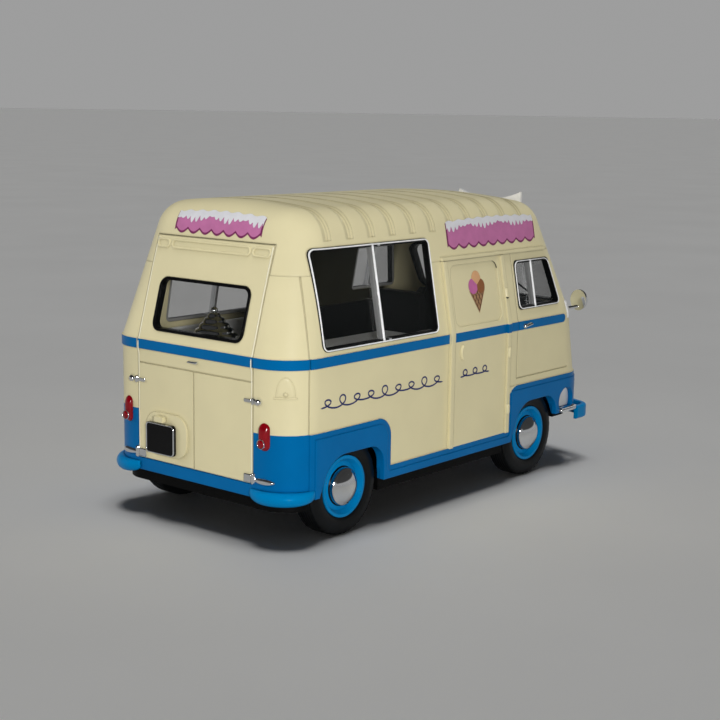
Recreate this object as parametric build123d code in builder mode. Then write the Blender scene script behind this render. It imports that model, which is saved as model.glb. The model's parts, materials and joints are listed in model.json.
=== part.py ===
"""Ice cream van: a 1:43 die-cast scale model, in millimetres.

Frame: +X forward, +Y left, +Z up. The origin is on the ground under the middle of the overall box.
Stations are x distances from the middle of the wheelbase, forward positive.
"""

import os
from functools import lru_cache
from math import sqrt

from build123d import *

os.makedirs("parts", exist_ok=True)

# Driving sizes
wheelbase = 52.84
tail_length = 13.98
nose_length = 20.68
rear_bumper_proud = 1.92
front_bumper_reach = 2.72
tyre_radius = 7.93
tyre_width = 4.3
tyre_inset = 0.9
half_width = 20.9
roof_height = 52.7
wall = 1.2
fit = 0.06

overall_length = rear_bumper_proud + tail_length + wheelbase + nose_length + front_bumper_reach
rear_axle_x = rear_bumper_proud + tail_length - overall_length / 2
front_axle_x = rear_axle_x + wheelbase
mid_x = (rear_axle_x + front_axle_x) / 2
tyre_face_y = half_width - tyre_inset

# Stations of the axles, and a reach that clears the whole van
rear_axle = -wheelbase / 2
front_axle = wheelbase / 2
far = overall_length


def station(x):
    """Part x of a distance from the middle of the wheelbase."""
    return mid_x + x


# Heights of the body
sill_z = 7.7
sill_top_z = 9.8
waist_z = 18.0
stripe_low_z = 28.1
belt_z = 29.7
seam_z = 41.9
lean_top_z = 54.0
nose_bottom_z = 10.6

# Plan of the body and how its walls lean above the belt, as run over rise
rear_face = rear_axle - tail_length
waist_front = front_axle + nose_length
nose_lean = 2.4
belt_front = waist_front - nose_lean
front_bow = 5.0
rear_corner = 6.5
front_corner = 6.5
side_lean = 0.187
rear_lean = 0.275
front_lean = 0.417
lean_rise = lean_top_z - belt_z

# Sections of the body. Columns: height, half width, rear station, front station, bow of the front
SECTIONS = [
    (sill_z - 3.0, half_width, rear_face, waist_front, front_bow),
    (waist_z, half_width, rear_face, waist_front, front_bow),
    (belt_z, half_width, rear_face, belt_front, front_bow),
    (
        lean_top_z,
        half_width - side_lean * lean_rise,
        rear_face + rear_lean * lean_rise,
        belt_front - front_lean * lean_rise,
        front_bow,
    ),
]

# Roof
crown_rise = 1.5
droop_station = front_axle - 10.4
droop_radius = 87.0
roof_edge = 5.4
# Columns: groove width, groove depth
GROOVE_STEPS = [(1.8, 0.15), (0.8, 0.34)]
groove_pitch = 5.36
first_groove = rear_axle - 2.2
last_groove = front_axle - 1.2
groove_count = int((last_groove - first_groove) / groove_pitch + 0.5) + 1
groove_foot_z = 47.0
gutter_front = front_axle + 5.1
gutter_height = 0.7
gutter_proud = 0.45

# Reliefs of the casting, each as how far it stands proud
flare_lip = 0.22
flare_lip_width = 0.9
flare_proud = 0.38
stripe_proud = 0.2
stripe_round = 0.78
door_proud = 0.25
bead_proud = 0.7
bead_half = 0.5
press_depth = 0.25
line_width = 0.22
line_depth = 0.2


def plan_face(section, grow, height=None):
    """Plan of the body at a section, moved outward by grow."""
    own_height, half, rear, front, bow = section
    y = half + grow
    rear_x = station(rear) - grow
    front_x = station(front) + grow
    corner_x = front_x - bow
    with BuildSketch(Plane.XY.offset(own_height if height is None else height)) as outline:
        with BuildLine():
            Polyline((corner_x, y), (rear_x, y), (rear_x, -y), (corner_x, -y))
            ThreePointArc((corner_x, -y), (front_x, 0), (corner_x, y))
        make_face()
        fillet(outline.vertices().group_by(Axis.X)[0], rear_corner + grow)
        fillet(outline.vertices().group_by(Axis.X)[-1], front_corner + grow)
    return outline.sketch


@lru_cache(maxsize=None)
def envelope(grow):
    """Body up to the open top of its leaning walls, moved outward by grow."""
    with BuildPart() as env:
        for lower, upper in zip(SECTIONS, SECTIONS[1:]):
            loft([plan_face(lower, grow), plan_face(upper, grow)], ruled=True)
    return env.part


def crown_tool(grow):
    """What lies under the crowned roof: straight along the van, then drooping to the front."""
    reach = half_width + 4
    top = roof_height + grow
    edge = top - crown_rise * 2
    with BuildPart() as tool:
        with BuildSketch(Plane.YZ.offset(station(droop_station))) as profile:
            with BuildLine():
                ThreePointArc((-reach, edge), (0, top), (reach, edge))
                Polyline((reach, edge), (reach, 0), (-reach, 0), (-reach, edge))
            make_face()
        extrude(amount=-(far + droop_station))
        pivot = Axis((station(droop_station), 0, roof_height - droop_radius), (0, 1, 0))
        revolve(profile.sketch, axis=pivot, revolution_arc=28)
    return tool.part


@lru_cache(maxsize=None)
def roof_form(grow):
    """Body with its crowned roof and rounded roof edge, moved outward by grow."""
    with BuildPart() as form:
        add(envelope(grow))
        add(crown_tool(grow), mode=Mode.INTERSECT)
        high_edges = [edge for edge in form.edges() if edge.bounding_box().min.Z > seam_z + 5]
        rim = [edge for edge in high_edges if edge.bounding_box().size.X > 0.01]
        fillet(rim, roof_edge + grow)
    return form.part


def side_prism(x0, x1, z0, z1, radius, inset=0.0):
    """Rounded rectangle pushed out through the right-hand wall."""
    with BuildPart() as prism:
        with BuildSketch(Plane.XZ):
            with Locations((station((x0 + x1) / 2), (z0 + z1) / 2)):
                RectangleRounded(x1 - x0 - 2 * inset, z1 - z0 - 2 * inset, radius - inset * 0.9)
        extrude(amount=half_width + 6)
    return prism.part


def end_prism(half, z0, z1, radius, direction, inset=0.0, y=0.0):
    """Rounded rectangle pushed out through the rear (-1) or front (1) wall."""
    with BuildPart() as prism:
        with BuildSketch(Plane.YZ):
            with Locations((y, (z0 + z1) / 2)):
                RectangleRounded(2 * (half - inset), z1 - z0 - 2 * inset, radius - inset * 0.9)
        extrude(amount=direction * overall_length)
    return prism.part


def layer(region, inner, outer):
    """The part of a region between two offsets of the body's surface."""
    with BuildPart() as piece:
        add(region)
        add(envelope(outer), mode=Mode.INTERSECT)
        add(envelope(inner), mode=Mode.SUBTRACT)
    return piece.part


def cut_from(region, *tools):
    """A region less the given tools."""
    with BuildPart() as piece:
        add(region)
        for tool in tools:
            add(tool, mode=Mode.SUBTRACT)
    return piece.part


def block(x0, x1, y0, y1, z0, z1):
    """Box between two stations, two widths and two heights."""
    with BuildPart() as box:
        with Locations((station((x0 + x1) / 2), (y0 + y1) / 2, (z0 + z1) / 2)):
            Box(x1 - x0, y1 - y0, z1 - z0)
    return box.part


def rod(start, end, radius):
    """Round bar between two points given as station, y and z."""
    first = Vector(station(start[0]), start[1], start[2])
    last = Vector(station(end[0]), end[1], end[2])
    with BuildPart() as bar:
        with BuildSketch(Plane(origin=first, z_dir=last - first)):
            Circle(radius)
        extrude(amount=(last - first).length)
    return bar.part


def mirrored(part):
    """The same piece on the other side of the van."""
    with BuildPart() as other:
        add(mirror(part, about=Plane.XZ, mode=Mode.PRIVATE))
    return other.part


def front_face(y):
    """Station of the front panel at a distance from the middle, below the waist."""
    radius = (half_width**2 + front_bow**2) / (2 * front_bow)
    return waist_front - radius + sqrt(radius**2 - y**2)


# Doors: side door between two beads, cab door lines, rear doors
side_door = (front_axle - 26.6, front_axle - 9.6)
cab_door_rear = front_axle - 6.1
cab_door_foot_z = 19.3
cab_door_front = front_axle + 11.2
rear_door_half = half_width - 7.8
rear_split_z = 25.8
hatch_top_z = 46.5
stripe_end = front_axle + 9.6
corner_seam = rear_face + 4.6
seam_lean = 0.11
press_margin = 1.5

# Windows. Columns: rear station, front station, sill height, top height, corner
serving_window = (rear_axle - 6.5, side_door[0] - 3.2, 30.3, 46.1, 1.2)
left_window = (rear_axle - 2.0, side_door[0] - 5.8, 30.3, 41.0, 1.2)
pressed_panel = (side_door[0] + press_margin, side_door[1] - press_margin, 30.6, 41.1, 1.5)
# Columns: half width, sill height, top height, corner
rear_window = (rear_door_half - 2.8, 31.3, 40.0, 1.6)
windscreen_window = (half_width - 4.5, 31.0, 40.8, 2.2)
serving_divider = (serving_window[0] + serving_window[1]) / 2
left_divider = (left_window[0] + left_window[1]) / 2 + 0.6
frame_width = 0.55
seal_width = 0.5
glass_inner = -0.95
glass_outer = -0.4
frame_proud = 0.15

# Cab door window: stations of its rear, lower front and upper front corners, its heights and divider
door_rear, door_low_front, door_high_front = front_axle - 5.5, front_axle + 8.4, front_axle + 5.8
door_low_z, door_high_z = 31.7, 40.6
door_corner = 0.9
door_divider = door_rear + 5.4

# Arch openings from the axle. Columns: axle, rear foot, rear shoulder, front edge, top height
ARCHES = [
    (rear_axle_x, -7.5, -5.0, 8.2, 13.8),
    (front_axle_x, -7.9, -4.8, 7.2, 14.6),
]
arch_rear_radius = 5.5
arch_front_radius = 3.4
well_gap = 0.45

# Blue skirt: stations of the two flares, their top heights and corner
flare_rear_front = rear_axle + 10.1
flare_front_rear = front_axle - 9.0
flare_corner = 3.2


def door_window(inset=0.0):
    """Cab door window pushed out through the right-hand wall."""
    with BuildPart() as prism:
        with BuildSketch(Plane.XZ):
            with BuildLine():
                Polyline(
                    (station(door_rear), door_low_z),
                    (station(door_low_front), door_low_z),
                    (station(door_high_front), door_high_z),
                    (station(door_rear), door_high_z),
                    close=True,
                )
            face = make_face()
            fillet(face.vertices(), door_corner)
            if inset:
                offset(amount=-inset)
        extrude(amount=half_width + 6)
    return prism.part


def arch_cut(row):
    """Wheel arch opening right across the van, flat in front and swept behind."""
    axle, foot, shoulder, front, top = row
    with BuildPart() as cut:
        with BuildSketch(Plane.XZ) as profile:
            with BuildLine():
                Polyline(
                    (axle + foot, 0),
                    (axle + foot, sill_z),
                    (axle + shoulder, top),
                    (axle + front, top),
                    (axle + front, 0),
                    close=True,
                )
            make_face()
            fillet(profile.vertices().group_by(Axis.Y)[-1].sort_by(Axis.X)[-1], arch_front_radius)
            fillet(profile.vertices().group_by(Axis.Y)[-1].sort_by(Axis.X)[0], arch_rear_radius)
        extrude(amount=half_width + 6, both=True)
    return cut.part


def skirt_region(inset=0.0):
    """Blue lower panels: rear flare, sill and front, as a profile right across the van."""
    rear_x, front_x = station(flare_rear_front), station(flare_front_rear)
    with BuildPart() as region:
        with BuildSketch(Plane.XZ):
            with BuildLine():
                Polyline(
                    (station(corner_seam), 0),
                    (station(corner_seam), waist_z),
                    (rear_x, waist_z),
                    (rear_x, sill_top_z),
                    (front_x, sill_top_z),
                    (front_x, waist_z),
                    (far, waist_z),
                    (far, 0),
                    close=True,
                )
            face = make_face()
            tops = face.vertices().group_by(Axis.Y)[-1].sort_by(Axis.X)
            fillet(tops[1], flare_corner)
            fillet(face.vertices().group_by(Axis.Y)[-1].sort_by(Axis.X)[-2], flare_corner)
            if inset:
                offset(amount=-inset)
        extrude(amount=half_width + 6, both=True)
    return region.part


def raised(region, proud):
    """A relief of the casting: a region out to a grown surface."""
    with BuildPart() as relief:
        add(region)
        add(envelope(proud), mode=Mode.INTERSECT)
    return relief.part


def engraved(lines, form):
    """Cutters for engraved lines: thin boxes, less the form that they stop at."""
    with BuildPart() as cutters:
        for row in lines:
            add(block(*row))
        add(form, mode=Mode.SUBTRACT)
    return cutters.part


def door_lines():
    """Engraved lines of the doors and panels."""
    w = line_width / 2
    back = rear_face - 3
    # Columns: rear station, front station, right y, left y, low z, high z
    lines = [
        (back, 0, -w, w, sill_top_z, rear_split_z),
        (back, 0, -rear_door_half - w, -rear_door_half + w, sill_top_z, seam_z),
        (back, 0, rear_door_half - w, rear_door_half + w, sill_top_z, seam_z),
        (back, 0, -rear_door_half, rear_door_half, rear_split_z - w, rear_split_z + w),
        (back, 0, -rear_door_half, rear_door_half, sill_top_z - w, sill_top_z + w),
        (cab_door_rear - w, cab_door_rear + w, -far, far, cab_door_foot_z, seam_z),
        (cab_door_rear, cab_door_front, -far, far, cab_door_foot_z - w, cab_door_foot_z + w),
        (corner_seam - w, corner_seam + w, -far, far, waist_z, belt_z),
    ]
    return engraved(lines, envelope(-line_depth))


def leaning_seam():
    """Engraved line of the rear corner above the belt, which leans forward as it rises."""
    foot, head = station(corner_seam), station(corner_seam) + seam_lean * (seam_z - belt_z)
    w = line_width / 2
    with BuildPart() as cutter:
        with BuildSketch(Plane.XZ):
            with BuildLine():
                low, high = belt_z, seam_z
                Polyline((foot - w, low), (foot + w, low), (head + w, high), (head - w, high), close=True)
            make_face()
        extrude(amount=far, both=True)
        add(envelope(-line_depth), mode=Mode.SUBTRACT)
    return cutter.part


def hatch_lines():
    """Engraved lines of the rear hatch, carried up into the roof."""
    w = line_width / 2
    back = rear_face - 3
    half = rear_door_half
    # Columns: rear station, front station, right y, left y, low z, high z
    lines = [
        (back, 0, -half - w, -half + w, seam_z, hatch_top_z),
        (back, 0, half - w, half + w, seam_z, hatch_top_z),
        (back, 0, -half - w, half + w, hatch_top_z - w, hatch_top_z + w),
    ]
    return engraved(lines, roof_form(-line_depth))


# Number plate's raised pad on the left rear door. Columns: half width, low z, high z, corner
plate_pad = (4.8, 11.0, 18.1, 2.6)
pad_y = 6.1
pad_proud = 0.4

# Lamp and grille sizes on the front panel
headlamp_y = half_width - 6.5
headlamp_z = 14.4
headlamp_radius = 2.9
bezel_proud = 1.7
bezel_width = 0.55
grille_half = 8.2
grille_z = (12.0, 16.4)
grille_bars = 4
grille_bar = 0.4
grille_corner = 1.4

# Step wells in the cab doors' feet
step_stations = (front_axle + 8.5, front_axle + 13.2)
step_z = (11.5, 15.3)
step_recess = 0.5
tread_height = 0.7
tread_reach = 0.7


def step_region(inset=0.0):
    """Half oval foot recess in front of the front wheel, pushed out to the right."""
    x0, x1 = station(step_stations[0]) + inset, station(step_stations[1]) - inset
    low, high = step_z[0] + inset, step_z[1] - inset
    with BuildPart() as prism:
        with BuildSketch(Plane.XZ.offset(half_width - 6)):
            with BuildLine():
                ThreePointArc((x0, low), ((x0 + x1) / 2, high), (x1, low))
                Line((x1, low), (x0, low))
            make_face()
        extrude(amount=12)
    return prism.part


def wheel_wells():
    """Room for the tyres inside the walls."""
    with BuildPart() as wells:
        for axle in (rear_axle_x, front_axle_x):
            with BuildSketch(Plane.XZ):
                with Locations((axle, tyre_radius)):
                    Circle(tyre_radius + well_gap)
            extrude(amount=tyre_face_y + 0.3, both=True)
    return wells.part


def headlamp_hole():
    """Round hole for the right-hand headlamp."""
    start = (waist_front - 6, -headlamp_y, headlamp_z)
    return rod(start, (waist_front + 3, -headlamp_y, headlamp_z), headlamp_radius)


serving_opening = side_prism(*serving_window)
left_opening = mirrored(side_prism(*left_window))
stripe = side_prism(-far, stripe_end, stripe_low_z, belt_z, stripe_round)
door_panel = block(side_door[0], side_door[1], -far, 0, sill_top_z, seam_z)


def roof_grooves(width, depth):
    """Transverse grooves of the roof, cut to one width and depth."""
    with BuildPart() as cutters:
        for index in range(groove_count):
            x = first_groove + index * groove_pitch
            add(block(x - width / 2, x + width / 2, -far, far, groove_foot_z, far))
        add(roof_form(-depth), mode=Mode.SUBTRACT)
    return cutters.part


def hatch_head(grow):
    """Top of the rear hatch, which the body carries up into the roof."""
    half = rear_door_half + grow
    with BuildPart() as head:
        add(block(-far, 0, -half, half, seam_z, hatch_top_z + grow))
        add(roof_form(0), mode=Mode.INTERSECT)
        add(roof_form(-wall), mode=Mode.SUBTRACT)
    return head.part


def roof_gutter():
    """Rain gutter above the doors of both sides."""
    strip = block(side_door[0] - bead_half, gutter_front, -far, far, seam_z + fit, seam_z + gutter_height)
    return layer(strip, -wall / 2, gutter_proud)


with BuildPart() as body_shell:
    add(envelope(0))
    add(raised(skirt_region(), flare_lip))
    add(raised(skirt_region(flare_lip_width), flare_proud))
    add(raised(stripe, stripe_proud))
    add(raised(mirrored(stripe), stripe_proud))
    add(raised(door_panel, door_proud))
    add(raised(end_prism(*plate_pad, -1, y=pad_y), pad_proud))
    for bead in side_door:
        add(raised(block(bead - bead_half, bead + bead_half, -far, 0, sill_top_z, seam_z), bead_proud))
    add(envelope(-wall), mode=Mode.SUBTRACT)
    add(block(-far, far, -far, far, 0, sill_z), mode=Mode.SUBTRACT)
    add(block(-far, far, -far, far, seam_z, far), mode=Mode.SUBTRACT)
    add(hatch_head(0))
    add(block(front_axle, far, -far, far, 0, nose_bottom_z), mode=Mode.SUBTRACT)
    for arch in ARCHES:
        add(arch_cut(arch), mode=Mode.SUBTRACT)
    add(wheel_wells(), mode=Mode.SUBTRACT)
    add(serving_opening, mode=Mode.SUBTRACT)
    add(left_opening, mode=Mode.SUBTRACT)
    add(end_prism(*rear_window, -1), mode=Mode.SUBTRACT)
    add(end_prism(*windscreen_window, 1), mode=Mode.SUBTRACT)
    add(end_prism(grille_half, *grille_z, grille_corner, 1), mode=Mode.SUBTRACT)
    for hole in (door_window(), step_region(), headlamp_hole()):
        add(hole, mode=Mode.SUBTRACT)
        add(mirrored(hole), mode=Mode.SUBTRACT)
    add(door_lines(), mode=Mode.SUBTRACT)
    add(hatch_lines(), mode=Mode.SUBTRACT)
    add(leaning_seam(), mode=Mode.SUBTRACT)
    add(cut_from(side_prism(*pressed_panel), envelope(door_proud - press_depth)), mode=Mode.SUBTRACT)


with BuildPart() as roof:
    add(roof_form(0))
    add(roof_form(-wall), mode=Mode.SUBTRACT)
    add(block(-far, far, -far, far, 0, seam_z), mode=Mode.SUBTRACT)
    add(serving_opening, mode=Mode.SUBTRACT)
    for step in GROOVE_STEPS:
        add(roof_grooves(*step), mode=Mode.SUBTRACT)
    add(hatch_head(fit), mode=Mode.SUBTRACT)
    add(hatch_lines(), mode=Mode.SUBTRACT)
    add(roof_gutter())

# Base plate: a tray inside the body's lower edge, open round the wheels
base_bottom_z = 5.6
base_floor = 1.0
base_rim = 0.8
base_rim_top_z = 9.0
wheel_room = 0.7
riser_half = half_width - 6.9
axle_radius = 0.9
axle_clearance = 0.05
post_half = 1.7
post_y = (9.0, 12.0)
boss_radius = 2.6
mount_radius = 1.25
mount_depth = 6.0
mount_stations = (rear_axle + 14.4, front_axle - 14.4)
screw_stations = (rear_axle - 8.6, 0.0)
screw_head_radius = 1.5
screw_radius = 0.7
screw_head = 0.6

base_inset = wall + fit
floor_top_z = base_bottom_z + base_floor
tyre_inner_y = tyre_face_y - tyre_width
post_top_z = tyre_radius + 2.2
screw_sink = 0.1
screw_reach = 2.0


def upright(x, top, radius, sink=0):
    """Upright round bar on the middle line, from the base's underside to a height."""
    return rod((x, 0, base_bottom_z + sink), (x, 0, top), radius)


with BuildPart() as base_plate:
    extrude(plan_face(SECTIONS[0], -base_inset, base_bottom_z), amount=base_rim_top_z - base_bottom_z)
    hollow = plan_face(SECTIONS[0], -base_inset - base_rim, floor_top_z)
    extrude(hollow, amount=base_rim_top_z - floor_top_z, mode=Mode.SUBTRACT)
    room = tyre_radius + wheel_room
    nose_start = front_axle + room
    for at in (rear_axle, front_axle):
        wheel_cut = block(at - room, at + room, -far, wheel_room - tyre_inner_y, 0, far)
        add(wheel_cut, mode=Mode.SUBTRACT)
        add(mirrored(wheel_cut), mode=Mode.SUBTRACT)
    add(block(nose_start, far, -far, far, 0, far), mode=Mode.SUBTRACT)
    # Nose floor, a step higher, and its riser
    add(raised(block(nose_start, far, -far, far, nose_bottom_z - base_floor, nose_bottom_z), -base_inset))
    add(block(nose_start - base_floor, nose_start, -riser_half, riser_half, base_bottom_z, nose_bottom_z))
    # Axle posts
    for at, axle in ((rear_axle, rear_axle_x), (front_axle, front_axle_x)):
        post = block(at - post_half, at + post_half, -post_y[1], -post_y[0], base_bottom_z, post_top_z)
        add(post)
        add(mirrored(post))
        with BuildSketch(Plane.XZ):
            with Locations((axle, tyre_radius)):
                Circle(axle_radius + axle_clearance)
        extrude(amount=half_width, both=True, mode=Mode.SUBTRACT)
    # Bosses with blind holes for the plinth screws
    for x in mount_stations:
        add(upright(x, base_bottom_z + mount_depth + wall, boss_radius))
    for x in mount_stations:
        add(upright(x, base_bottom_z + mount_depth, mount_radius), mode=Mode.SUBTRACT)
    for x in screw_stations:
        add(upright(x, base_bottom_z + screw_head, screw_head_radius + fit), mode=Mode.SUBTRACT)
        add(upright(x, floor_top_z, screw_radius + fit), mode=Mode.SUBTRACT)

with BuildPart() as base_screws:
    for x in screw_stations:
        add(upright(x, base_bottom_z + screw_head - fit, screw_head_radius, screw_sink))
        add(upright(x, floor_top_z + screw_reach, screw_radius, screw_sink))

# Inside
tub_floor_z = tyre_radius * 2 + 0.75
tub_floor = 0.8
tub_wall = 0.7
tub_top_z = belt_z - 0.4
tub_inset = wall + fit
tub_inner = tub_inset + tub_wall
deck_z = tub_floor_z + tub_floor

with BuildPart() as interior_tub:
    add(layer(block(-far, far, -far, far, tub_floor_z, tub_top_z), -tub_inner, -tub_inset))
    add(raised(block(-far, far, -far, far, tub_floor_z, deck_z), -tub_inset))
    add(headlamp_hole(), mode=Mode.SUBTRACT)
    add(mirrored(headlamp_hole()), mode=Mode.SUBTRACT)

seat_back_station = front_axle - 6.4
seat_half = 5.7
seat_y = 6.5
seat_round = 2.0
seat_top_z = 32.9
seat_base_z = 21.0
seat_pad_z = 23.4
with BuildPart() as seats:
    for y in (-seat_y, seat_y):
        y0, y1 = y - seat_half, y + seat_half
        back = seat_back_station
        add(block(back + 0.6, back + 8.0, y0 + 0.8, y1 - 0.8, deck_z, seat_base_z))
        add(block(back, back + 9.0, y0, y1, seat_base_z, seat_pad_z))
        add(block(back - 0.8, back + 1.2, y0, y1, seat_base_z, seat_top_z))
    shoulders = seats.edges().filter_by(Axis.X).group_by(Axis.Z)[-1]
    fillet(shoulders, seat_round)

dash_station = front_axle + 12.2
dash_bottom_z = 25.0
dash_top_z = 31.2
with BuildPart() as dashboard:
    add(block(dash_station, far, -far, far, dash_bottom_z, dash_top_z))
    add(envelope(-(tub_inner + fit)), mode=Mode.INTERSECT)

wheel_y = 8.6
steer_hub = (dash_station - 4.0, wheel_y, 30.2)
steer_foot = (dash_station + 0.8, wheel_y, 27.0)
steer_ring = 3.6
steer_bar = 0.35
with BuildPart() as steering_wheel:
    hub = Vector(station(steer_hub[0]), steer_hub[1], steer_hub[2])
    foot = Vector(station(steer_foot[0]), steer_foot[1], steer_foot[2])
    wheel_plane = Plane(origin=hub, x_dir=(0, 1, 0), z_dir=hub - foot)
    with Locations(wheel_plane):
        Torus(steer_ring, steer_bar)
        Cylinder(0.7, 0.7)
        for turn in (90, 210, 330):
            with Locations(Rotation(0, 0, turn)):
                with Locations((steer_ring / 2, 0, 0)):
                    Box(steer_ring, 0.5, 0.35)
    add(rod(steer_hub, steer_foot, 0.45))
    add(dashboard.part, mode=Mode.SUBTRACT)

counter_top_z = 30.1
counter_slab = 0.7
counter_edge_y = 9.4 - half_width
counter_front = serving_window[1] - 3.6
rear_counter_front = rear_axle - 2.6
rear_counter_y = half_width - 7.9
counter_lip = 0.5
lid_radius = 3.9
lid_height = 4.2
lid_place = (rear_axle - 7.0, 2.4)
knob_radius = 0.55
with BuildPart() as serving_counter:
    slab_low = counter_top_z - counter_slab
    for lip, low, high in ((0, slab_low, counter_top_z), (counter_lip, deck_z, slab_low)):
        add(block(-far, counter_front - lip, -far, counter_edge_y - lip, low, high))
        add(block(-far, rear_counter_front - lip, -far, rear_counter_y - lip, low, high))
    add(envelope(-(tub_inner + fit)), mode=Mode.INTERSECT)

with BuildPart() as tub_lid:
    with BuildSketch(Plane.XZ.offset(-lid_place[1])):
        with BuildLine():
            x = station(lid_place[0])
            Polyline(
                (x, counter_top_z),
                (x + lid_radius, counter_top_z),
                (x + lid_radius, counter_top_z + 0.5),
                (x + 0.35, counter_top_z + lid_height),
                (x, counter_top_z + lid_height),
                close=True,
            )
        make_face()
    revolve(axis=Axis((station(lid_place[0]), lid_place[1], 0), (0, 0, 1)))
    with Locations((station(lid_place[0]), lid_place[1], counter_top_z + lid_height + knob_radius * 0.8)):
        Sphere(knob_radius)


def ring(outer_prism, inner_prism, bar=None):
    """Window frame: what lies between two prisms, with a divider bar if there is one."""
    with BuildPart() as frame:
        add(outer_prism)
        add(inner_prism, mode=Mode.SUBTRACT)
        if bar is not None:
            add(bar)
    return layer(frame.part, glass_inner - 0.1, frame_proud)


def panes(prism, bar):
    """Glass of a window, with room for its divider bar."""
    with BuildPart() as glass:
        add(layer(prism, glass_inner, glass_outer))
        if bar is not None:
            add(bar, mode=Mode.SUBTRACT)
    return glass.part


def divider_bar(x, z0, z1, spare):
    """Upright bar of a side window."""
    half = frame_width / 2 + spare
    return block(x - half, x + half, -far, 0, z0, z1)


def side_frame(window, divider):
    return ring(
        side_prism(*window, inset=fit),
        side_prism(*window, inset=frame_width),
        divider_bar(divider, window[2] + frame_width / 2, window[3] - frame_width / 2, 0),
    )


def side_panes(window, divider):
    return panes(
        side_prism(*window, inset=frame_width + fit),
        divider_bar(divider, window[2], window[3], fit),
    )


with BuildPart() as serving_frame:
    add(side_frame(serving_window, serving_divider))
with BuildPart() as serving_glass:
    add(side_panes(serving_window, serving_divider))
with BuildPart() as left_frame:
    add(mirrored(side_frame(left_window, left_divider)))
with BuildPart() as left_glass:
    add(mirrored(side_panes(left_window, left_divider)))
with BuildPart() as door_frame_right:
    door_bar = divider_bar(door_divider, door_low_z + 0.2, door_high_z - 0.2, 0)
    add(ring(door_window(fit), door_window(frame_width), door_bar))
with BuildPart() as door_frame_left:
    add(mirrored(door_frame_right.part))
with BuildPart() as door_glass_right:
    add(panes(door_window(frame_width + fit), divider_bar(door_divider, door_low_z, door_high_z, fit)))
with BuildPart() as door_glass_left:
    add(mirrored(door_glass_right.part))
with BuildPart() as rear_seal:
    add(ring(end_prism(*rear_window, -1, inset=fit), end_prism(*rear_window, -1, inset=seal_width)))
with BuildPart() as rear_glass:
    add(panes(end_prism(*rear_window, -1, inset=seal_width + fit), None))
with BuildPart() as windscreen_seal:
    screen_hole = end_prism(*windscreen_window, 1, inset=seal_width)
    add(ring(end_prism(*windscreen_window, 1, inset=fit), screen_hole))
with BuildPart() as windscreen:
    add(panes(end_prism(*windscreen_window, 1, inset=seal_width + fit), None))

# Bumpers
bumper_z = (8.6, 11.2)
bumper_thick = 0.9
bumper_half = half_width + 1.0
bumper_bow = 4.9
bumper_corner = 3.4
bumper_return = front_axle + 14.2
bumper_round = 0.45
iron_y = (8.0, 10.5)
iron_height = 1.4
rear_bumper_z = (7.2, 9.8)
rear_bumper_round = 0.9
rear_bumper_tip_y = rear_door_half - 0.4
rear_bumper_end = corner_seam - fit


def bumper_face(inset, height):
    """Plan of the front bumper and all that lies behind it."""
    front_x = overall_length / 2 - inset
    corner_x = front_x - bumper_bow
    y = bumper_half - inset
    with BuildSketch(Plane.XY.offset(height)) as plan:
        with BuildLine():
            Polyline((corner_x, y), (0, y), (0, -y), (corner_x, -y))
            ThreePointArc((corner_x, -y), (front_x, 0), (corner_x, y))
        make_face()
        fillet(plan.vertices().group_by(Axis.X)[-1], bumper_corner - inset)
    return plan.sketch


def bumper_irons():
    """Two arms from the base's nose to the back of the bumper."""
    low = nose_bottom_z - base_floor - iron_height
    arm = block(belt_front - 3.0, far, -iron_y[1], -iron_y[0], low, nose_bottom_z - base_floor)
    with BuildPart() as arms:
        extrude(bumper_face(bumper_thick / 2, 0), amount=30)
        add(cut_from(arm), mode=Mode.INTERSECT)
    return arms.part


with BuildPart() as front_bumper:
    extrude(bumper_face(0, bumper_z[0]), amount=bumper_z[1] - bumper_z[0])
    rims = front_bumper.edges().group_by(Axis.Z)
    fillet([edge for edge in rims[0] + rims[-1] if edge.center().X > 1], bumper_round)
    extrude(bumper_face(bumper_thick, bumper_z[0] - 1), amount=10, mode=Mode.SUBTRACT)
    add(block(-far, bumper_return, -far, far, 0, far), mode=Mode.SUBTRACT)
    irons = bumper_irons()
    add(irons)
    add(mirrored(irons))

def on_bumper_face(edge):
    """Whether an edge of the right-hand rear bumper lies on its outer face."""
    middle = edge @ 0.5
    centre = Vector(station(rear_face) + rear_corner, -half_width + rear_corner, middle.Z)
    if middle.X > centre.X:
        return middle.Y < -half_width - rear_bumper_proud / 2
    if middle.Y > centre.Y:
        return middle.X < station(rear_face) - rear_bumper_proud / 2
    return (middle - centre).length > rear_corner + rear_bumper_proud / 2


with BuildPart() as rear_bumper_right:
    corner = block(-far, rear_bumper_end, -far, -rear_bumper_tip_y, *rear_bumper_z)
    add(layer(corner, fit, rear_bumper_proud))
    rims = rear_bumper_right.edges().group_by(Axis.Z)
    outline = [edge for edge in rims[0] + rims[-1] if on_bumper_face(edge)]
    fillet(outline, rear_bumper_round)
with BuildPart() as rear_bumper_left:
    add(mirrored(rear_bumper_right.part))

# Lamps
tail_lamp_y = rear_door_half + 2.4
tail_lamp_z = 16.6
tail_lens_radius = 1.0
tail_lens_proud = 0.9
tail_drop_top_z = 19.7
tail_drop_half = 0.85
tail_drop_proud = 0.65
tail_lamp_depth = 3.0


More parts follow.
